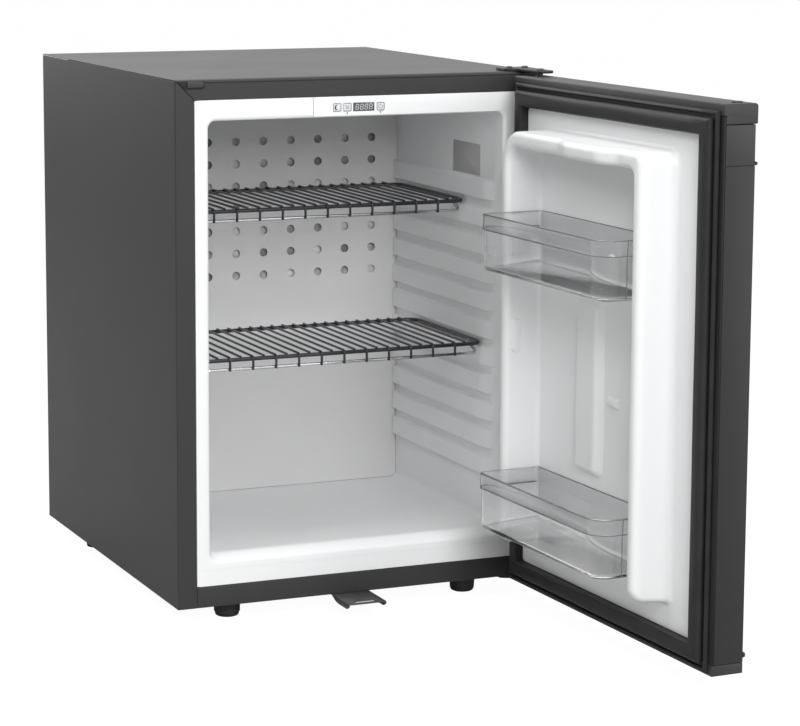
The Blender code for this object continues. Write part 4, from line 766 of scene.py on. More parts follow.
def inner_liner():
    """The white moulded compartment: flange, rolled lip, sloped sill, runner pads and back wall."""
    lip, wall = 0.0042, 0.0020
    mouth = liner_ring(0.0, lip, MOUTH_DROP)
    rings = [spread(mouth, y, share) for y, share in ((wall, 1.0), (0.0004, 1.0), (0.0, 0.985), (0.0, 0.50))]
    stations = [(lip * (1 - math.cos(a)), lip * (1 - math.sin(a))) for a in quarter(6)]
    stations += [(y, 0.0) for y in STATIONS]
    rings += [liner_ring(y, margin, MOUTH_DROP * (1 - ease(y / 0.012))) for y, margin in stations]
    rings += [liner_ring(y, margin, pads=False)
              for y, margin in ((BACK_Y - 0.0009, 0.0), (LINER_DEPTH - 0.004, 0.0), (LINER_DEPTH, -0.004))]
    shell = [liner_ring(LINER_DEPTH + wall, wall - 0.001, pads=False)]
    shell += [liner_ring(y, wall + lip, MOUTH_DROP, pads=False) for y in (0.008, wall)]
    obj = drawn("compartment_liner", stacked_shell(rings, shell))
    opening = block(rectangle((FASCIA_X, W), (FASCIA_Z, H)), -0.003, 0.0045, "Y", edge=0.0001)
    pressed = rectangle(grown((FRAME_W, W - FRAME_W), -0.004), (0.0383, 0.0391))
    line = block(pressed, -0.001, 0.0005, "Y", edge=0.0001)
    cut(obj, opening, line)
    smoothed(obj, 35)
    settle(obj, "liner", "inner_liner")


def stacked_shell(inner, outer):
    """A thin-walled tub: inner rings from the rim to the back, outer rings from the back to the rim."""
    bm = bmesh.new()
    made_rings = [[bm.verts.new(p) for p in ring] for ring in inner + outer]
    back = len(inner)
    for n, (ring, following) in enumerate(zip(made_rings, made_rings[1:])):
        if n != back - 1:
            skin(bm, ring, following)
    bm.faces.new(made_rings[back - 1])
    bm.faces.new(made_rings[back])
    skin(bm, made_rings[-1], made_rings[0])
    return bm


def cut(obj, *tools):
    """Take solids away from a piece."""
    group = bpy.data.collections.new("tools")
    bpy.context.scene.collection.children.link(group)
    for bm in tools:
        group.objects.link(bpy.data.objects.new("tool", meshed("tool", bm)))
    carve = obj.modifiers.new("carve", "BOOLEAN")
    carve.operation = "DIFFERENCE"
    carve.operand_type = "COLLECTION"
    carve.collection = group
    carve.solver = "EXACT"
    plain(obj)
    for tool in list(group.objects):
        bpy.data.objects.remove(tool, do_unlink=True)
    bpy.data.collections.remove(group)


def node_tree(name, **sockets):
    """A geometry node tree with named inputs and one geometry output."""
    tree = bpy.data.node_groups.new(name, "GeometryNodeTree")
    tree.interface.new_socket("Geometry", in_out="OUTPUT", socket_type="NodeSocketGeometry")
    for label, kind in {"Geometry": "Geometry", **sockets, "Material": "Material"}.items():
        tree.interface.new_socket(label.replace("_", " "), in_out="INPUT", socket_type="NodeSocket" + kind)
    return tree, tree.nodes.new("NodeGroupInput").outputs


def closed_tree(tree, given, geometry):
    """Let a tree end in Realize Instances and Set Material."""
    real = wired(tree, "RealizeInstances", {"Geometry": geometry})
    finished = wired(tree, "SetMaterial", {"Geometry": real, "Material": given["Material"]})
    tree.links.new(finished, tree.nodes.new("NodeGroupOutput").inputs[0])
    return tree


def row_tree():
    """Copies of one shape in a row."""
    tree, given = node_tree("row of one shape", Count="Int", Step="Vector")
    line = wired(tree, "MeshLine", {"Count": given["Count"], "Offset": given["Step"]}, mode="OFFSET")
    copies = wired(tree, "InstanceOnPoints", {"Points": line, "Instance": given["Geometry"]})
    return closed_tree(tree, given, copies)


def punch_tree():
    """A sheet with a grid of round holes through it along Y."""
    tree, given = node_tree("sheet with round holes", Columns="Int", Rows="Int", Pitch_X="Vector",
                            Pitch_Z="Vector", First_Hole="Vector", Radius="Float")
    column = {"Count": given["Rows"], "Start Location": given["First Hole"], "Offset": given["Pitch Z"]}
    rows = wired(tree, "MeshLine", column, mode="OFFSET")
    line = wired(tree, "MeshLine", {"Count": given["Columns"], "Offset": given["Pitch X"]}, mode="OFFSET")
    grid = wired(tree, "InstanceOnPoints", {"Points": rows, "Instance": line})
    points = wired(tree, "RealizeInstances", {"Geometry": grid})
    punch = wired(tree, "MeshCylinder", {"Vertices": 28, "Radius": given["Radius"], "Depth": 0.02})
    laid = wired(tree, "Transform", {"Geometry": punch, "Rotation": (math.pi / 2, 0.0, 0.0)})
    punches = wired(tree, "InstanceOnPoints", {"Points": points, "Instance": laid})
    whole = wired(tree, "RealizeInstances", {"Geometry": punches})
    meshes = {0: given["Geometry"], 1: whole}
    holes = wired(tree, "MeshBoolean", meshes, operation="DIFFERENCE", solver="EXACT")
    return closed_tree(tree, given, holes)


def run_tree(obj, tree, **inputs):
    """Apply a geometry node tree to an object, its inputs set by the sockets' identifiers."""
    modifier = obj.modifiers.new("repeat", "NODES")
    modifier.node_group = tree
    known = {item.name: item.identifier for item in tree.interface.items_tree if item.in_out == "INPUT"}
    for name, value in inputs.items():
        modifier[known[name.replace("_", " ")]] = value
    return plain(obj)


def perforated_panel():
    """Light grey plate with nine columns and seven rows of round holes."""
    sheet = 0.0012
    corners = rectangle(grown(OPEN_X, -GAP), grown(OPEN_Z, -GAP))
    bm = block(corners, BACK_Y, BACK_Y + sheet, "Y", edge=0.0003, radii=LINER_CORNER - GAP, steps=6)
    obj = drawn("perforated_plate", bm)
    across, down, columns, top = 0.0328, 0.0251, 9, 0.4496
    left = sum(OPEN_X) / 2 - (columns - 1) / 2 * across
    run_tree(obj, punch_tree(), Columns=columns, Rows=7, Pitch_X=(across, 0.0, 0.0),
             Pitch_Z=(0.0, 0.0, -down), First_Hole=(left, BACK_Y, top), Radius=0.00475,
             Material=FINISHES["back_panel"][1])
    smoothed(obj, 30)
    settle(obj, "back_panel", "perforated_back")
    # a plate just behind the holes; its grey patches are painted light and shade seen through them
    corners = rectangle(grown(OPEN_X, -0.006), COLD_PLATE_Z)
    bm = block(corners, BACK_Y + 0.0055, BACK_Y + 0.0065, "Y", edge=0.0002)
    made("plate_behind_holes", bm, "cold_plate")


def shelf(name, front, groove, rows):
    """Welded wire shelf; every second wire turns down over the front bar to the lip wire."""
    r_frame, r_wire, r_lip = 0.00215, 0.0013, 0.0017
    pitch, corner, drop = 0.01275, 0.014, 0.010
    x = (OPEN_X[0] + GAP + r_frame, OPEN_X[1] - GAP - r_frame)
    y = (front + r_frame, front + SHELF_DEPTH - r_frame)
    z = GROOVE_TOP - GROOVE_PITCH * groove - GROOVE_H + GAP + r_frame
    lay = z + r_frame + r_wire - 0.0008
    drop_y = y[0] - r_frame - r_wire + 0.0006
    lip_y, lip_z = drop_y + r_wire + r_lip - 0.0006, z - drop
    middle = sum(x) / 2
    reach = int((x[1] - x[0] - 2 * corner) / 2 / pitch)
    first = middle - reach * pitch
    border = outline(rectangle(x, y), 0.0, corner, 8)
    frame_bar = tube([(u, v, z) for u, v in border], r_frame, 12, closed=True)
    bent = fillet([(first, y[1], lay), (first, drop_y, lay), (first, drop_y, lip_z - 0.0012)], 0.003, 5)
    straight = [(first + pitch, y[1], lay), (first + pitch, y[0], lay)]
    if reach % 2:
        bent = [(u + pitch, v, w) for u, v, w in bent]
        straight = [(u - pitch, v, w) for u, v, w in straight]
    copies = []
    for path, count in ((bent, reach + 1 - reach % 2), (straight, reach + reach % 2)):
        unit = drawn("wire", tube(path, r_wire, 10))
        run_tree(unit, rows, Count=count, Step=(2 * pitch, 0.0, 0.0), Material=FINISHES["shelf_wire"][1])
        copies.append(unit)
    bm = together(frame_bar)
    for unit in copies:
        bm.from_mesh(unit.data)
        bpy.data.objects.remove(unit, do_unlink=True)
    made(name + "_wires", bm, "shelf_wire", name, body=name, angle_deg=50)
    ends = (OPEN_X[0] + PAD + 0.004, OPEN_X[1] - PAD - 0.004)
    path = fillet([(ends[0], y[0] + 0.024, z), (ends[0], lip_y, lip_z), (ends[1], lip_y, lip_z),
                   (ends[1], y[0] + 0.024, z)], 0.006, 6)
    made(name + "_lip_wire", tube(path, r_lip, 14), "lip_wire", body=name, angle_deg=50)


def control_fascia():
    """White fascia in the flange, with wells round the buttons and the display."""
    panel = rectangle((FASCIA_X + 0.0006, W - FRAME_W - GAP), (FASCIA_Z, H - FRAME_W - GAP))
    obj = drawn("control_panel", block(panel, 0.0, 0.0022, "Y", edge=0.0005, radii=0.0008))
    wells = [block(rectangle(grown(span, GAP), grown(BUTTON_Z, GAP)), -0.001, 0.004, "Y", edge=0.0001,
                   radii=radius)
             for span, radius in (*(((left, left + width), 0.0016) for _, left, width in BUTTONS),
                                  (DISPLAY_X, 0.0006))]
    corner = rectangle((FASCIA_X - 0.001, FASCIA_X + 0.0022), (H - FRAME_W - 0.0016, H))
    cut(obj, *wells, block(corner, -0.001, 0.001, "Y", edge=0.0001, radii=0.0003))
    rounded(obj, 0.00025, 40)
    settle(obj, "fascia", "control_fascia")


def flat_stroke(points, width, y, thickness=0.00012):
    """A flat printed line of even width along points in the front plane."""
    rings = []
    count = len(points)
    for i, (u, v) in enumerate(points):
        before, after = points[max(0, i - 1)], points[min(count - 1, i + 1)]
        direction = Vector((after[0] - before[0], after[1] - before[1])).normalized()
        side = Vector((-direction.y, direction.x)) * width / 2
        rings.append([(u + side.x, y - thickness, v + side.y), (u - side.x, y - thickness, v - side.y),
                      (u - side.x, y, v - side.y), (u + side.x, y, v + side.y)])
    return stacked(rings)


def symbols():
    """Printed symbols on the buttons, the lamps below two of them and the display's digits."""
    centres = [(left + width / 2, sum(BUTTON_Z) / 2) for _, left, width in BUTTONS]
    (moon_x, moon_z), (wave_x, wave_z), (ring_x, ring_z) = centres
    crescent = arc((moon_x - 0.0002, moon_z), 0.0027, 58, 302, 18)
    crescent += arc((moon_x + 0.0010, moon_z), 0.0023, 276, 84, 18)
    moon = stacked([[(u, y, v) for u, v in crescent] for y in (-0.0001, 0.00004)])
    waves = []
    for offset in (-0.0015, 0.0, 0.0015):
        points = [(wave_x + offset + 0.0005 * math.sin(t * 2 * math.pi), wave_z - 0.0021 + 0.0042 * t)
                  for t in (k / 14 for k in range(15))]
        waves.append(flat_stroke(points, 0.00045, 0.0))
    ring = [(ring_x + 0.0021 * math.cos(a), ring_z + 0.0021 * math.sin(a))
            for a in (math.radians(120 + 300 * k / 24) for k in range(25))]
    strokes = (ring, [(ring_x, ring_z + 0.0006), (ring_x, ring_z + 0.0028)])
    power = [flat_stroke(points, 0.0005, 0.0) for points in strokes]
    marks = zip(BUTTONS, ("ink", "grey_ink", "grey_ink"), ([moon], waves, power))
    for (node, _, _), ink, parts in marks:
        made(node + "_symbol", together(*parts), ink, body=KEY_BODY[node])
    for node, left, width in BUTTONS:
        edge = outline(rectangle((left, left + width), BUTTON_Z), 0.0005, 0.0014, 5)
        made(node + "_outline", flat_stroke(edge + edge[:2], 0.00045, 0.0), "grey_ink", body=KEY_BODY[node])
    radius = 0.0011
    for (node, _, _), (u, _) in list(zip(BUTTONS, centres))[1:]:
        corners = circle((u, BUTTON_Z[0] - 0.0018), radius, 4, 45)
        lamp = block(corners, -0.00012, 0.0, "Y", edge=0.00003, radii=radius * 0.999, steps=6)
        made(node + "_lamp", lamp, "lamp")
    made("display_digits", together(*eights(4, DISPLAY_X, BUTTON_Z)), "digits")


def eights(count, x, z):
    """Seven-segment eights in the display's window."""
    height = (z[1] - z[0]) * 0.62
    width, lean, stroke = height * 0.60, 0.10, height * 0.095
    pitch = width * 1.62
    low = sum(z) / 2 - height / 2
    start = sum(x) / 2 - (pitch * count - (pitch - width)) / 2
    around = ((0, 1), (1, 1), (1, 0.5), (1, 0), (0, 0), (0, 0.5), (0, 1))
    strokes = []
    for n in range(count):
        left = start + n * pitch
        for ends in (*zip(around, around[1:]), ((0, 0.5), (1, 0.5))):
            a, b = (Vector((left + u * width + lean * v * height, low + v * height)) for u, v in ends)
            trim = (b - a).normalized() * height * 0.07
            strokes.append(flat_stroke([tuple(a + trim), tuple(b - trim)], stroke, 0.0002))
    return strokes


def buttons():
    for node, left, width in BUTTONS:
        bm = block(rectangle((left, left + width), BUTTON_Z), 0.0, 0.0034, "Y", edge=0.0004, radii=0.0013)
        made(node + "_key", bm, "button", node, body=KEY_BODY[node])
    glass = block(rectangle(DISPLAY_X, BUTTON_Z), 0.0002, 0.0020, "Y", edge=0.0002, radii=0.0005)
    made("display_glass", glass, "display", "display_window")


def corner_cap():
    """Rounded tongue that closes the spare hinge place."""
    bm = block(rectangle((0.0127, 0.0303), (0.5319, 0.5383)), -0.0021, -GAP, "Y", edge=0.0006,
               radii=[0.0012, 0.0031, 0.0031, 0.0012])
    made("corner_cap_tongue", bm, "dark_plastic", "corner_cap")
    # a black sheet round the tongue and into the corner along the mitre: painted shadow of the gap round the
    # cap
    slot = [(0.0104, 0.5303), (0.0316, 0.5303), (0.0316, 0.5389), (0.0022, 0.5389)]
    shadow = block(slot, -0.0004, -0.00005, "Y", edge=0.0001, radii=[0.0006, 0.0034, 0.0012, 0.0004])
    made("corner_cap_painted_shadow", shadow, "black_paint")


def hinges():
    """Hinge plates, riveted pins and cross-recess screws."""
    x, front, back, thick, head = PIVOT.x, PIVOT.y - 0.014, 0.030, 0.0027, 0.0016
    arm = [(x - 0.007, front), (x + 0.012, front), (x + 0.012, back), (x - 0.022, back), (x - 0.022, 0.005),
           (x - 0.010, -0.001)]
    radii = [0.006, 0.010, 0.003, 0.003, 0.004, 0.006]
    for end, side, face, tip in (("top", 1, H + GAP, DOOR_Z[1] - 0.011),
                                 ("bottom", -1, -GAP, DOOR_Z[0] + 0.0085)):
        low, high = sorted((face, face + side * thick))
        bm = block(arm, low, high, "Z", edge=0.0006, radii=radii, steps=8)
        made(f"hinge_arm_{end}", bm, "black_paint", f"hinge_plate_{end}")
        outside = face + side * (thick + GAP)
        profile = [(r, outside + side * head * share) for r, share in
                   ((0.0, 1), (0.0026, 1), (0.0036, 0.75), (0.0048, 0.25), (0.0050, 0), (0.0030, 0))]
        profile += [(0.0030, tip + side * 0.0006), (0.0024, tip), (0.0, tip)]
        made(f"hinge_rivet_{end}", turned(profile, 32, PIVOT.xy), "dark_steel", f"hinge_pin_{end}")
        for name, offset in (("left", -0.014), ("right", 0.004)):
            centre = (x + offset, 0.012)
            profile = [(r, face + side * rise) for r, rise in
                       ((0.0, 0.0046), (0.0021, 0.0046), (0.0034, 0.0040), (0.0040, 0.0031), (0.0040, 0.0030),
                        (0.0018, 0.0030), (0.0018, 0.0), (0.0, 0.0))]
            screw = drawn(f"hinge_screw_{end}_{name}_head", turned(profile, 28, centre))
            bars = [rectangle(grown((centre[0],) * 2, long), grown((centre[1],) * 2, short))
                    for long, short in ((0.0017, 0.00035), (0.00035, 0.0017))]
            low, high = sorted((face + side * 0.0036, face + side * 0.0056))
            cut(screw, *(block(bar, low, high, "Z", edge=0.00005, radii=0.0001) for bar in bars))
            smoothed(screw, 30)
            settle(screw, "dark_steel", f"hinge_screw_{end}_{name}")


def feet():
    """A ribbed left and a plain right front foot, both with studs, and plain rear feet."""
    low, r = FOOT_LOW, 0.0137
    rib = ((0.0009, -0.0009), (0.0001, -0.0006), (0.0, 0.0), (0.0001, 0.0006), (0.0009, 0.0009))
    x, y = FRONT_FOOT
    for node, x, ribs in (("front_foot_left", x, True), ("front_foot_right", W - x, False)):
        profile = [(0.0, low), (r - 0.0034, low), (r - 0.0020, low + 0.0007), (r - 0.0012, low + 0.0020)]
        if ribs:
            for height in (0.0145, 0.0120, 0.0095, 0.0070, 0.0045):
                profile += [(r - inset, rise - height) for inset, rise in rib]
        else:
            profile += [(r - 0.0006, low + 0.004), (r, -0.0045)]
        profile += [(r, -0.0012), (r - 0.0006, -GAP), (0.004, -GAP), (0.004, 0.0155), (0.0034, 0.016),
                    (0.0, 0.016)]
        made(node + "_pad", turned(profile, 48, (x, y)), "rubber", node, body=node, angle_deg=40)
    r = 0.011
    profile = [(0.0, low), (r - 0.002, low), (r - 0.0006, low + 0.0006), (r, low + 0.002), (r, -0.0012),
               (r - 0.0007, -GAP), (0.0, -GAP)]
    x, y = REAR_FOOT
    for node, x in (("rear_foot_left", x), ("rear_foot_right", W - x)):
        made(node + "_pad", turned(profile, 32, (x, y)), "rubber", node, angle_deg=40)


def door_shell():
    """Outer sheet with rolled edges, end caps, edge block, trim strips and the flat inner frame."""
    softened("door_outer_panel", "door_paint", "door", 0.0006, 3)
    back, top, spare = DOOR_OUT - CAP_PROUD, DOOR_Z[1], (SPARE_HINGE_X, PIVOT.y)
    section = [(back, PAN_Z[1]), (FOAM_FACE, PAN_Z[1]), (FOAM_FACE, CAP_LIP), (DOOR_IN, CAP_LIP),
               (DOOR_IN, top), (back, top)]
    radii = [0.0015, 0.0006, 0.0003, 0.0006, 0.0013, 0.0030]
    cap = drawn("door_top_cap_rounded", block(section, 0.0, W, "X", edge=0.0012, rounds=4, radii=radii))
    low, high = top - 0.0128, top + 0.01
    cut(cap, *(turned([(0.0, low), (radius, low), (radius, high), (0.0, high)], 32, centre)
               for centre, radius in ((PIVOT.xy, 0.0057), (spare, 0.0043))))
    smoothed(cap, 32)
    settle(cap, "dark_plastic", "door_top_cap", body="door")
    softened("door_bottom_cap", "dark_plastic", "door", 0.0012, 3)
    softened("edge_insert", "dark_plastic", "door", 0.0008)
    softened("trim_strip_top", "dark_plastic", "door")
    softened("trim_strip_bottom", "dark_plastic", "door")
    # the door frame's darker plastic is painted shade of its recess
    softened("door_frame", "frame_plastic", "door")
    profile = [(0.0, top - 0.0125), (0.0036, top - 0.0125), (0.0040, top - 0.0120), (0.0040, top + GAP),
               (0.0055, top + GAP), (0.0054, top + 0.0008), (0.0044, top + 0.0013), (0.0, top + 0.0015)]
    bm = turned(profile, 32, spare)
    made("hinge_hole_stopper", bm, "rubber", "hinge_hole_plug", body="door", angle_deg=40)


# the gasket in section: (distance from the door's edge, height)
GASKET_PROFILE = (
    (0.0066, 0.0000), (0.0064, 0.0014), (0.0068, 0.0026), (0.0078, 0.0034), (0.0090, 0.0037),
    (0.0098, 0.0034), (0.0103, 0.0026), (0.0105, 0.0006), (0.0150, 0.0006), (0.0151, 0.0022),
    (0.0137, 0.0034), (0.0135, 0.0048), (0.0141, 0.0064), (0.0153, 0.0078), (0.0172, 0.0087),
    (0.0200, 0.0091), (0.0242, 0.0092), (0.0285, 0.0086), (0.0296, 0.0074), (0.0300, 0.0040),
    (0.0299, 0.0000))


def door_gasket():
    """Magnetic gasket: an outer rib, a groove and the main band, mitred at the corners, gently wavy."""
    low = DOOR_Z[0] - GASKET_DROP
    corners = [(0.0, low), (W, low), (W, DOOR_Z[1]), (0.0, DOOR_Z[1])]
    inward = [(1, 1), (-1, 1), (-1, -1), (1, -1)]
    rings = []
    for n in range(4):
        start, end = corners[n], corners[(n + 1) % 4]
        a, b = inward[n], inward[(n + 1) % 4]
        stations = 16 if n % 2 else 12
        for k in range(stations):
            t = k / stations
            ring = []
            for margin, height in GASKET_PROFILE:
                p = (start[0] + a[0] * margin, start[1] + a[1] * margin)
                q = (end[0] + b[0] * margin, end[1] + b[1] * margin)
                along_u, along_v = q[0] - p[0], q[1] - p[1]
                length = math.hypot(along_v, along_u)
                calm = math.sin(math.pi * t)
                sway = 0.00022 * calm * math.sin(9.0 * t * (1 + n * 0.3) + n * 1.7)
                u = p[0] + along_u * t - along_v / length * sway * (height / 0.009)
                v = p[1] + along_v * t + along_u / length * sway * (height / 0.009)
                lift = min(height, 0.0092 - 0.0002 * (1 - math.cos(14.0 * t + n)) * calm * (height > 0.007))
                ring.append((u, DOOR_IN + GAP + lift, v))
            rings.append(ring)
    bm = stacked(rings, closed=True)
    made("magnetic_gasket", bm, "gasket", "door_gasket", body="door", angle_deg=32)


def raised(u, v, levels, radii):
    """A form on the liner's flat face, its levels (height above the face, inset)."""
    return mound(rectangle(u, v), [(DOOR_IN + height, inset) for height, inset in levels], radii)


def crest(height, radius, steps):
    """Levels of a raised form: sunk base, fillet at its foot, wall and rounded crest."""
    levels = [(-0.0006, -radius)]
    levels += [(radius * (1 - math.cos(a)) * 0.9, -radius * (1 - math.sin(a))) for a in quarter(steps)]
    levels += [(height - radius * (1 - math.sin(a)), radius * (1 - math.cos(a))) for a in quarter(steps)]
    return levels


def grip(low, high):
    """The crossbar's crest swelling into a soft grip in its middle."""
    start, end = GRIP
    radius = 0.006
    rings = []
    for k in range(31):
        x = start + (end - start) * k / 30
        rise = DYKE - 0.0002 + 0.0092 * ease((x - start) / 0.036) * ease((end - x) / 0.036)
        flank, left, right = rise - radius, low + radius, high - radius
        section = [(0.030, low)]
        section += [(flank + radius * math.sin(a), left - radius * math.cos(a)) for a in quarter(6)]
        section += [(flank + radius * math.cos(a), right + radius * math.sin(a)) for a in quarter(6)]
        section.append((0.030, high))
        rings.append([(x, DOOR_IN + h, z) for h, z in section])
    return stacked(rings)


def door_liner():
    """White inner skin: flat sheet, raised frame of two columns and a crossbar, bump, rib, wedge, lugs."""
    span_x = grown((0.0, W), -GASKET_INNER)
    span_z = (DOOR_Z[0] + GASKET_INNER - GASKET_DROP, DOOR_Z[1] - GASKET_INNER)
    flat = rectangle(span_x, span_z)
    parts = [block(flat, DOOR_IN - 0.0018, DOOR_IN + 0.0002, "Y", edge=0.0006, radii=0.004)]
    free, hinge = COLUMN_FREE, COLUMN_HINGE
    low, top, bar = DYKE_Z[0], DYKE_Z[1], CROSSBAR_LOW
    corners = [(free[0], low), (free[1], low), (free[1], bar), (hinge[0], bar), (hinge[0], low),
               (hinge[1], low), (hinge[1], top), (free[0], top)]
    radii = [0.0095, 0.0095, 0.008, 0.018, 0.009, 0.009, 0.034, 0.014]
    slope = 0.005
    rings = []
    levels = crest(DYKE, 0.0060, 6)
    levels[8:8] = [(DYKE - END_ROUND + 0.0018 * k, 0.0) for k in range(5)]
    for height, inset in levels:
        share = max(0.0, min(1.0, height / DYKE))
        bend = max(0.0, 1.0 - (DYKE - height) / END_ROUND)
        curve = END_ROUND * (1.0 - math.sqrt(1.0 - bend * bend))
        end = END_RISE + END_DRAFT * share + curve + min(inset, 0.0)
        side = inset + slope * share
        insets = [end, inset, inset, inset, end, side, inset, side]
        for corner in (0, 1, 4, 5):
            radii[corner] = END_CORNER - inset + (insets[corner - 1] + insets[corner]) / 2
        rings.append([(u, DOOR_IN + height, v) for u, v in outline(corners, insets, radii, 6)])
    parts += [stacked(rings), grip(bar + 0.0002, top - 0.0002)]
    rib = [(-0.0006, -0.004), (0.0004, -0.0020), (0.0024, 0.0), (0.0055, 0.0024), (0.0072, 0.0042),
           (0.0080, 0.0070)]
    wedge = [(-0.0006, 0.0), (0.0010, 0.0), (0.0040, 0.0022), (0.0050, 0.0042)]
    parts += [raised((0.209, 0.255), (0.1515, 0.325), rib, 0.007),
              raised((0.177, 0.198), (0.2250, 0.2355), wedge, 0.0012)]
    for lug_top in (*(bin_top - BIN_BAND - GAP for bin_top in BIN_TOPS), SPARE_LUG_TOP):
        lug = rectangle((DOOR_IN + 0.023, DOOR_IN + 0.033), (lug_top - 0.034, lug_top))
        for wall, side in ((free[1], 1), (hinge[0], -1)):
            levels = [(wall + side * reach, inset) for reach, inset in
                      ((-0.001, -0.0004), (0.0012, 0.0), (0.0021, 0.0003), (0.0025, 0.0010))]
            parts.append(mound(lug, levels, 0.0035, "X", 5))
    made("door_inner_skin", together(*parts), "door_liner", "door_liner", body="door", angle_deg=34)


def bin_outline(inset):
    x = grown((COLUMN_FREE[1], COLUMN_HINGE[0]), -BIN_SIDE - inset)
    y = (DOOR_IN + 0.0005 + max(inset, 0.0), DOOR_IN + 0.070 - inset)
    radii = [max(r - inset, 0.0006) for r in (0.002, 0.002, 0.007, 0.020)]
    return outline(rectangle(x, y), 0.0, radii, 10)


def door_bin(name, low, top):
    """Clear tub with rounded front corners and a rim band with beaded edges."""
    wall, rim = 0.0016, top - BIN_BAND
    outer = [(inset, low + rise) for inset, rise in
             ((0.0065, 0.0), (0.0040, 0.0004), (0.0020, 0.0016), (0.0006, 0.0038), (0.0, 0.0068))]
    outer += [(inset, rim + rise) for inset, rise in
              ((0.0, -0.0002), (-0.0004, 0.0002), (-0.0015, 0.0005), (-0.0017, 0.0011), (-0.0015, 0.0018),
               (-0.0013, 0.0022))]
    outer += [(inset, top - drop) for inset, drop in
              ((-0.0013, 0.0020), (-0.0015, 0.0016), (-0.0016, 0.0009), (-0.0013, 0.0003), (-0.0007, 0.0))]
    inner = [(wall - 0.0006, top), (wall, top - 0.0006), (wall, low + 0.0068), (wall + 0.0007, low + 0.0046),
             (wall + 0.0022, low + 0.0028), (wall + 0.0044, low + wall + 0.0003), (wall + 0.007, low + wall)]
    rings = [[(x, y, z) for x, y in bin_outline(inset)] for inset, z in outer + inner]
    made(name + "_tub", stacked(rings), "clear_plastic", name, body=name, angle_deg=40)
    # thin dark tubes along the rim top, the band's lower edge, the floor and the free end: painted shade for
    # the refraction lines at the clear edges
    lines = []
    for inset, z, radius in ((-0.0010, top - 0.0006, 0.00045), (-0.0012, rim + 0.0011, 0.00040),
                             (0.0030, low + 0.0016, 0.00050)):
        points = bin_outline(inset)
        lines.append(tube([(x, y, z) for x, y in points[21:] + points[:1]], radius, 8))
    free_x, crest_y = COLUMN_FREE[1] + BIN_SIDE, DOOR_IN + DYKE + 0.0015
    lines.append(tube([(free_x + inset, crest_y, z) for inset, z in outer[2:6] + outer[-4:-2]], 0.00045, 8))
    made(name + "_painted_edge_lines", together(*lines), "painted_edge_shade", body=name, angle_deg=50)


def rear_unit():
    """The rear pieces, the strike, and what keeps the CAD's shape inside."""
    for node, finish, edge in (("rear_panel", "zinc", 0.0003), ("base_panel", "zinc", 0.0003),
                               ("boiler_case", "zinc", 0.0012), ("electrics_box", "dark_plastic", 0.0010),
                               ("unit_brackets", "black_paint", 0.0004),
                               ("power_inlet", "dark_plastic", 0.0003), ("lock_strike", "strike", 0.0003)):
        softened(node, finish, edge=edge)
    for finish, nodes in (("foam", ("insulation_foam", "door_foam")), ("board", ("control_board",)),
                          ("aluminium", ("evaporator", "condenser")),
                          ("dark_plastic", ("temperature_sensor",)),
                          ("black_paint", ("absorber_vessel", "absorber_coil", "evaporator_tube")),
                          ("zinc", ("lock_housing",)), ("bush", ("hinge_bush_top", "hinge_bush_bottom")),
                          ("steel", ("lock_cylinder", "lock_bolt"))):
        for node in nodes:
            for slot in frame["nodes"][node].material_slots:
                slot.material = FINISHES[finish][1]


def rating_plate():
    """Bare plate on the right inner wall, near the front."""
    wall = OPEN_X[1]
    bm = block(rectangle(PLATE_Y, PLATE_Z), wall - 0.0006, wall + 0.0004, "X", edge=0.0002, radii=0.0015)
    made("rating_plate", bm, "plate")


def straight_rays(tree, others):
    """1 for rays from the camera and the others named, 0 for scattered light."""
    path = tree.nodes.new("ShaderNodeLightPath")
    seen = path.outputs["Is Camera Ray"]
    for ray in others:
        seen = wired(tree, "Math", {0: seen, 1: path.outputs[ray]}, operation="MAXIMUM")
    return seen


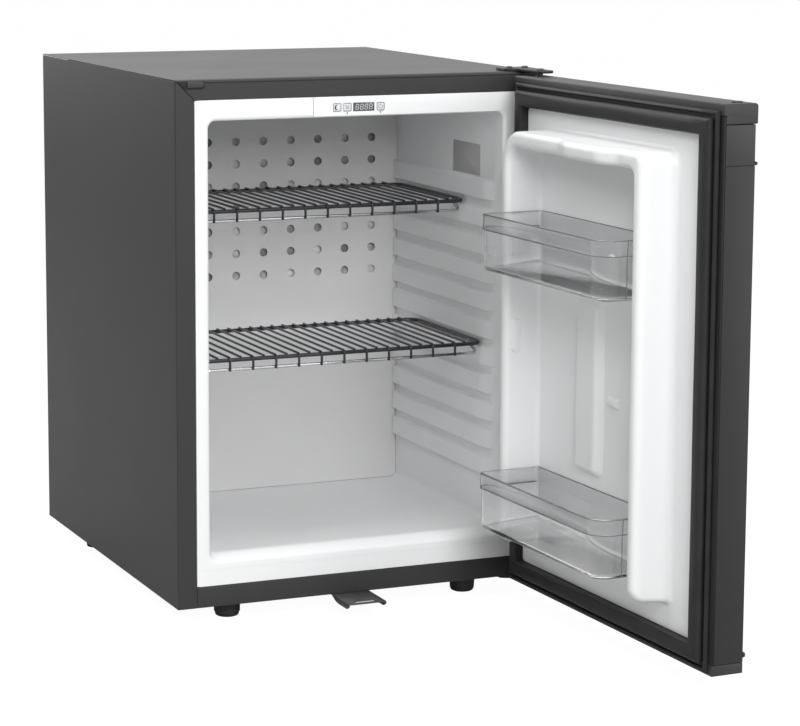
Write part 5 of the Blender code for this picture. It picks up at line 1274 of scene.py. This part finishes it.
def studio():
    """White floor that keeps the shadow, soft lamps and the photograph's camera."""
    scene = bpy.context.scene
    scene.view_settings.view_transform = "Standard"
    white = (1.0, 1.0, 1.0, 1.0)
    world = bpy.data.worlds.new("studio")
    scene.world = world
    world.use_nodes = True
    tree = world.node_tree
    background = tree.nodes["Background"]
    seen = straight_rays(tree, ("Is Glossy Ray", "Is Transmission Ray"))
    strength = wired(tree, "MapRange", {"Value": seen, "To Min": SCATTERED_LIGHT, "To Max": 1.0})
    background.inputs["Color"].default_value = white
    tree.links.new(strength, background.inputs["Strength"])

    floor = bpy.data.meshes.new("floor")
    corners = [(x, y, CAD_BOX[0].z) for x, y in rectangle((-60.0, 60.0), (-60.0, 60.0))]
    floor.from_pydata(corners, [], [(0, 1, 2, 3)])
    standing("floor", floor)
    paper = bpy.data.materials.new("white floor")
    paper.use_nodes = True
    tree = paper.node_tree
    tree.nodes.clear()
    seen = straight_rays(tree, ("Is Transmission Ray",))
    share = wired(tree, "Math", {0: seen, 1: FLOOR_GLOW_SHARE}, operation="MULTIPLY")
    matt = wired(tree, "BsdfDiffuse", {"Color": (0.55, 0.55, 0.55, 1.0)})
    glow = wired(tree, "Emission", {"Color": white, "Strength": FLOOR_GLOW})
    mix = wired(tree, "MixShader", {0: share, 1: matt, 2: glow})
    tree.links.new(mix, tree.nodes.new("ShaderNodeOutputMaterial").inputs["Surface"])
    floor.materials.append(paper)

    target = (CAD_BOX[0] + CAD_BOX[1]) / 2
    for name, place, size, power in LAMPS:
        lamp = bpy.data.lights.new(name, "AREA")
        lamp.shape = "SQUARE"
        lamp.size = size
        lamp.energy = power
        holder = standing(name, lamp)
        holder.location = place
        holder.rotation_euler = (target - Vector(place)).to_track_quat("-Z", "Y").to_euler()

    lens = bpy.data.cameras.new("camera")
    lens.sensor_width = 36.0
    lens.lens = CAMERA_LENS
    lens.clip_end = 200.0
    lens.shift_x, lens.shift_y = CAMERA_SHIFT
    camera = standing("camera", lens)
    turn = Matrix.Rotation(-CAMERA_YAW, 4, "Z") @ Matrix.Rotation(math.pi / 2 - CAMERA_PITCH, 4, "X")
    camera.matrix_world = (Matrix.Translation(CORNER + CAMERA_PLACE) @ turn
                           @ Matrix.Rotation(CAMERA_ROLL, 4, "Z"))
    scene.camera = camera


side_panel(True)
side_panel(False)
top_panel()
sill_rail()
inner_liner()
perforated_panel()
ROWS = row_tree()
shelf("upper_shelf", 0.0858, 0, ROWS)
shelf("lower_shelf", 0.0398, 5, ROWS)
control_fascia()
buttons()
symbols()
corner_cap()
hinges()
feet()
door_shell()
door_gasket()
door_liner()
for name, low, top in zip(("upper_bin", "lower_bin"), BIN_LOWS, BIN_TOPS):
    door_bin(name, low, top)
rear_unit()
rating_plate()
studio()

low, high = CAD_BOX
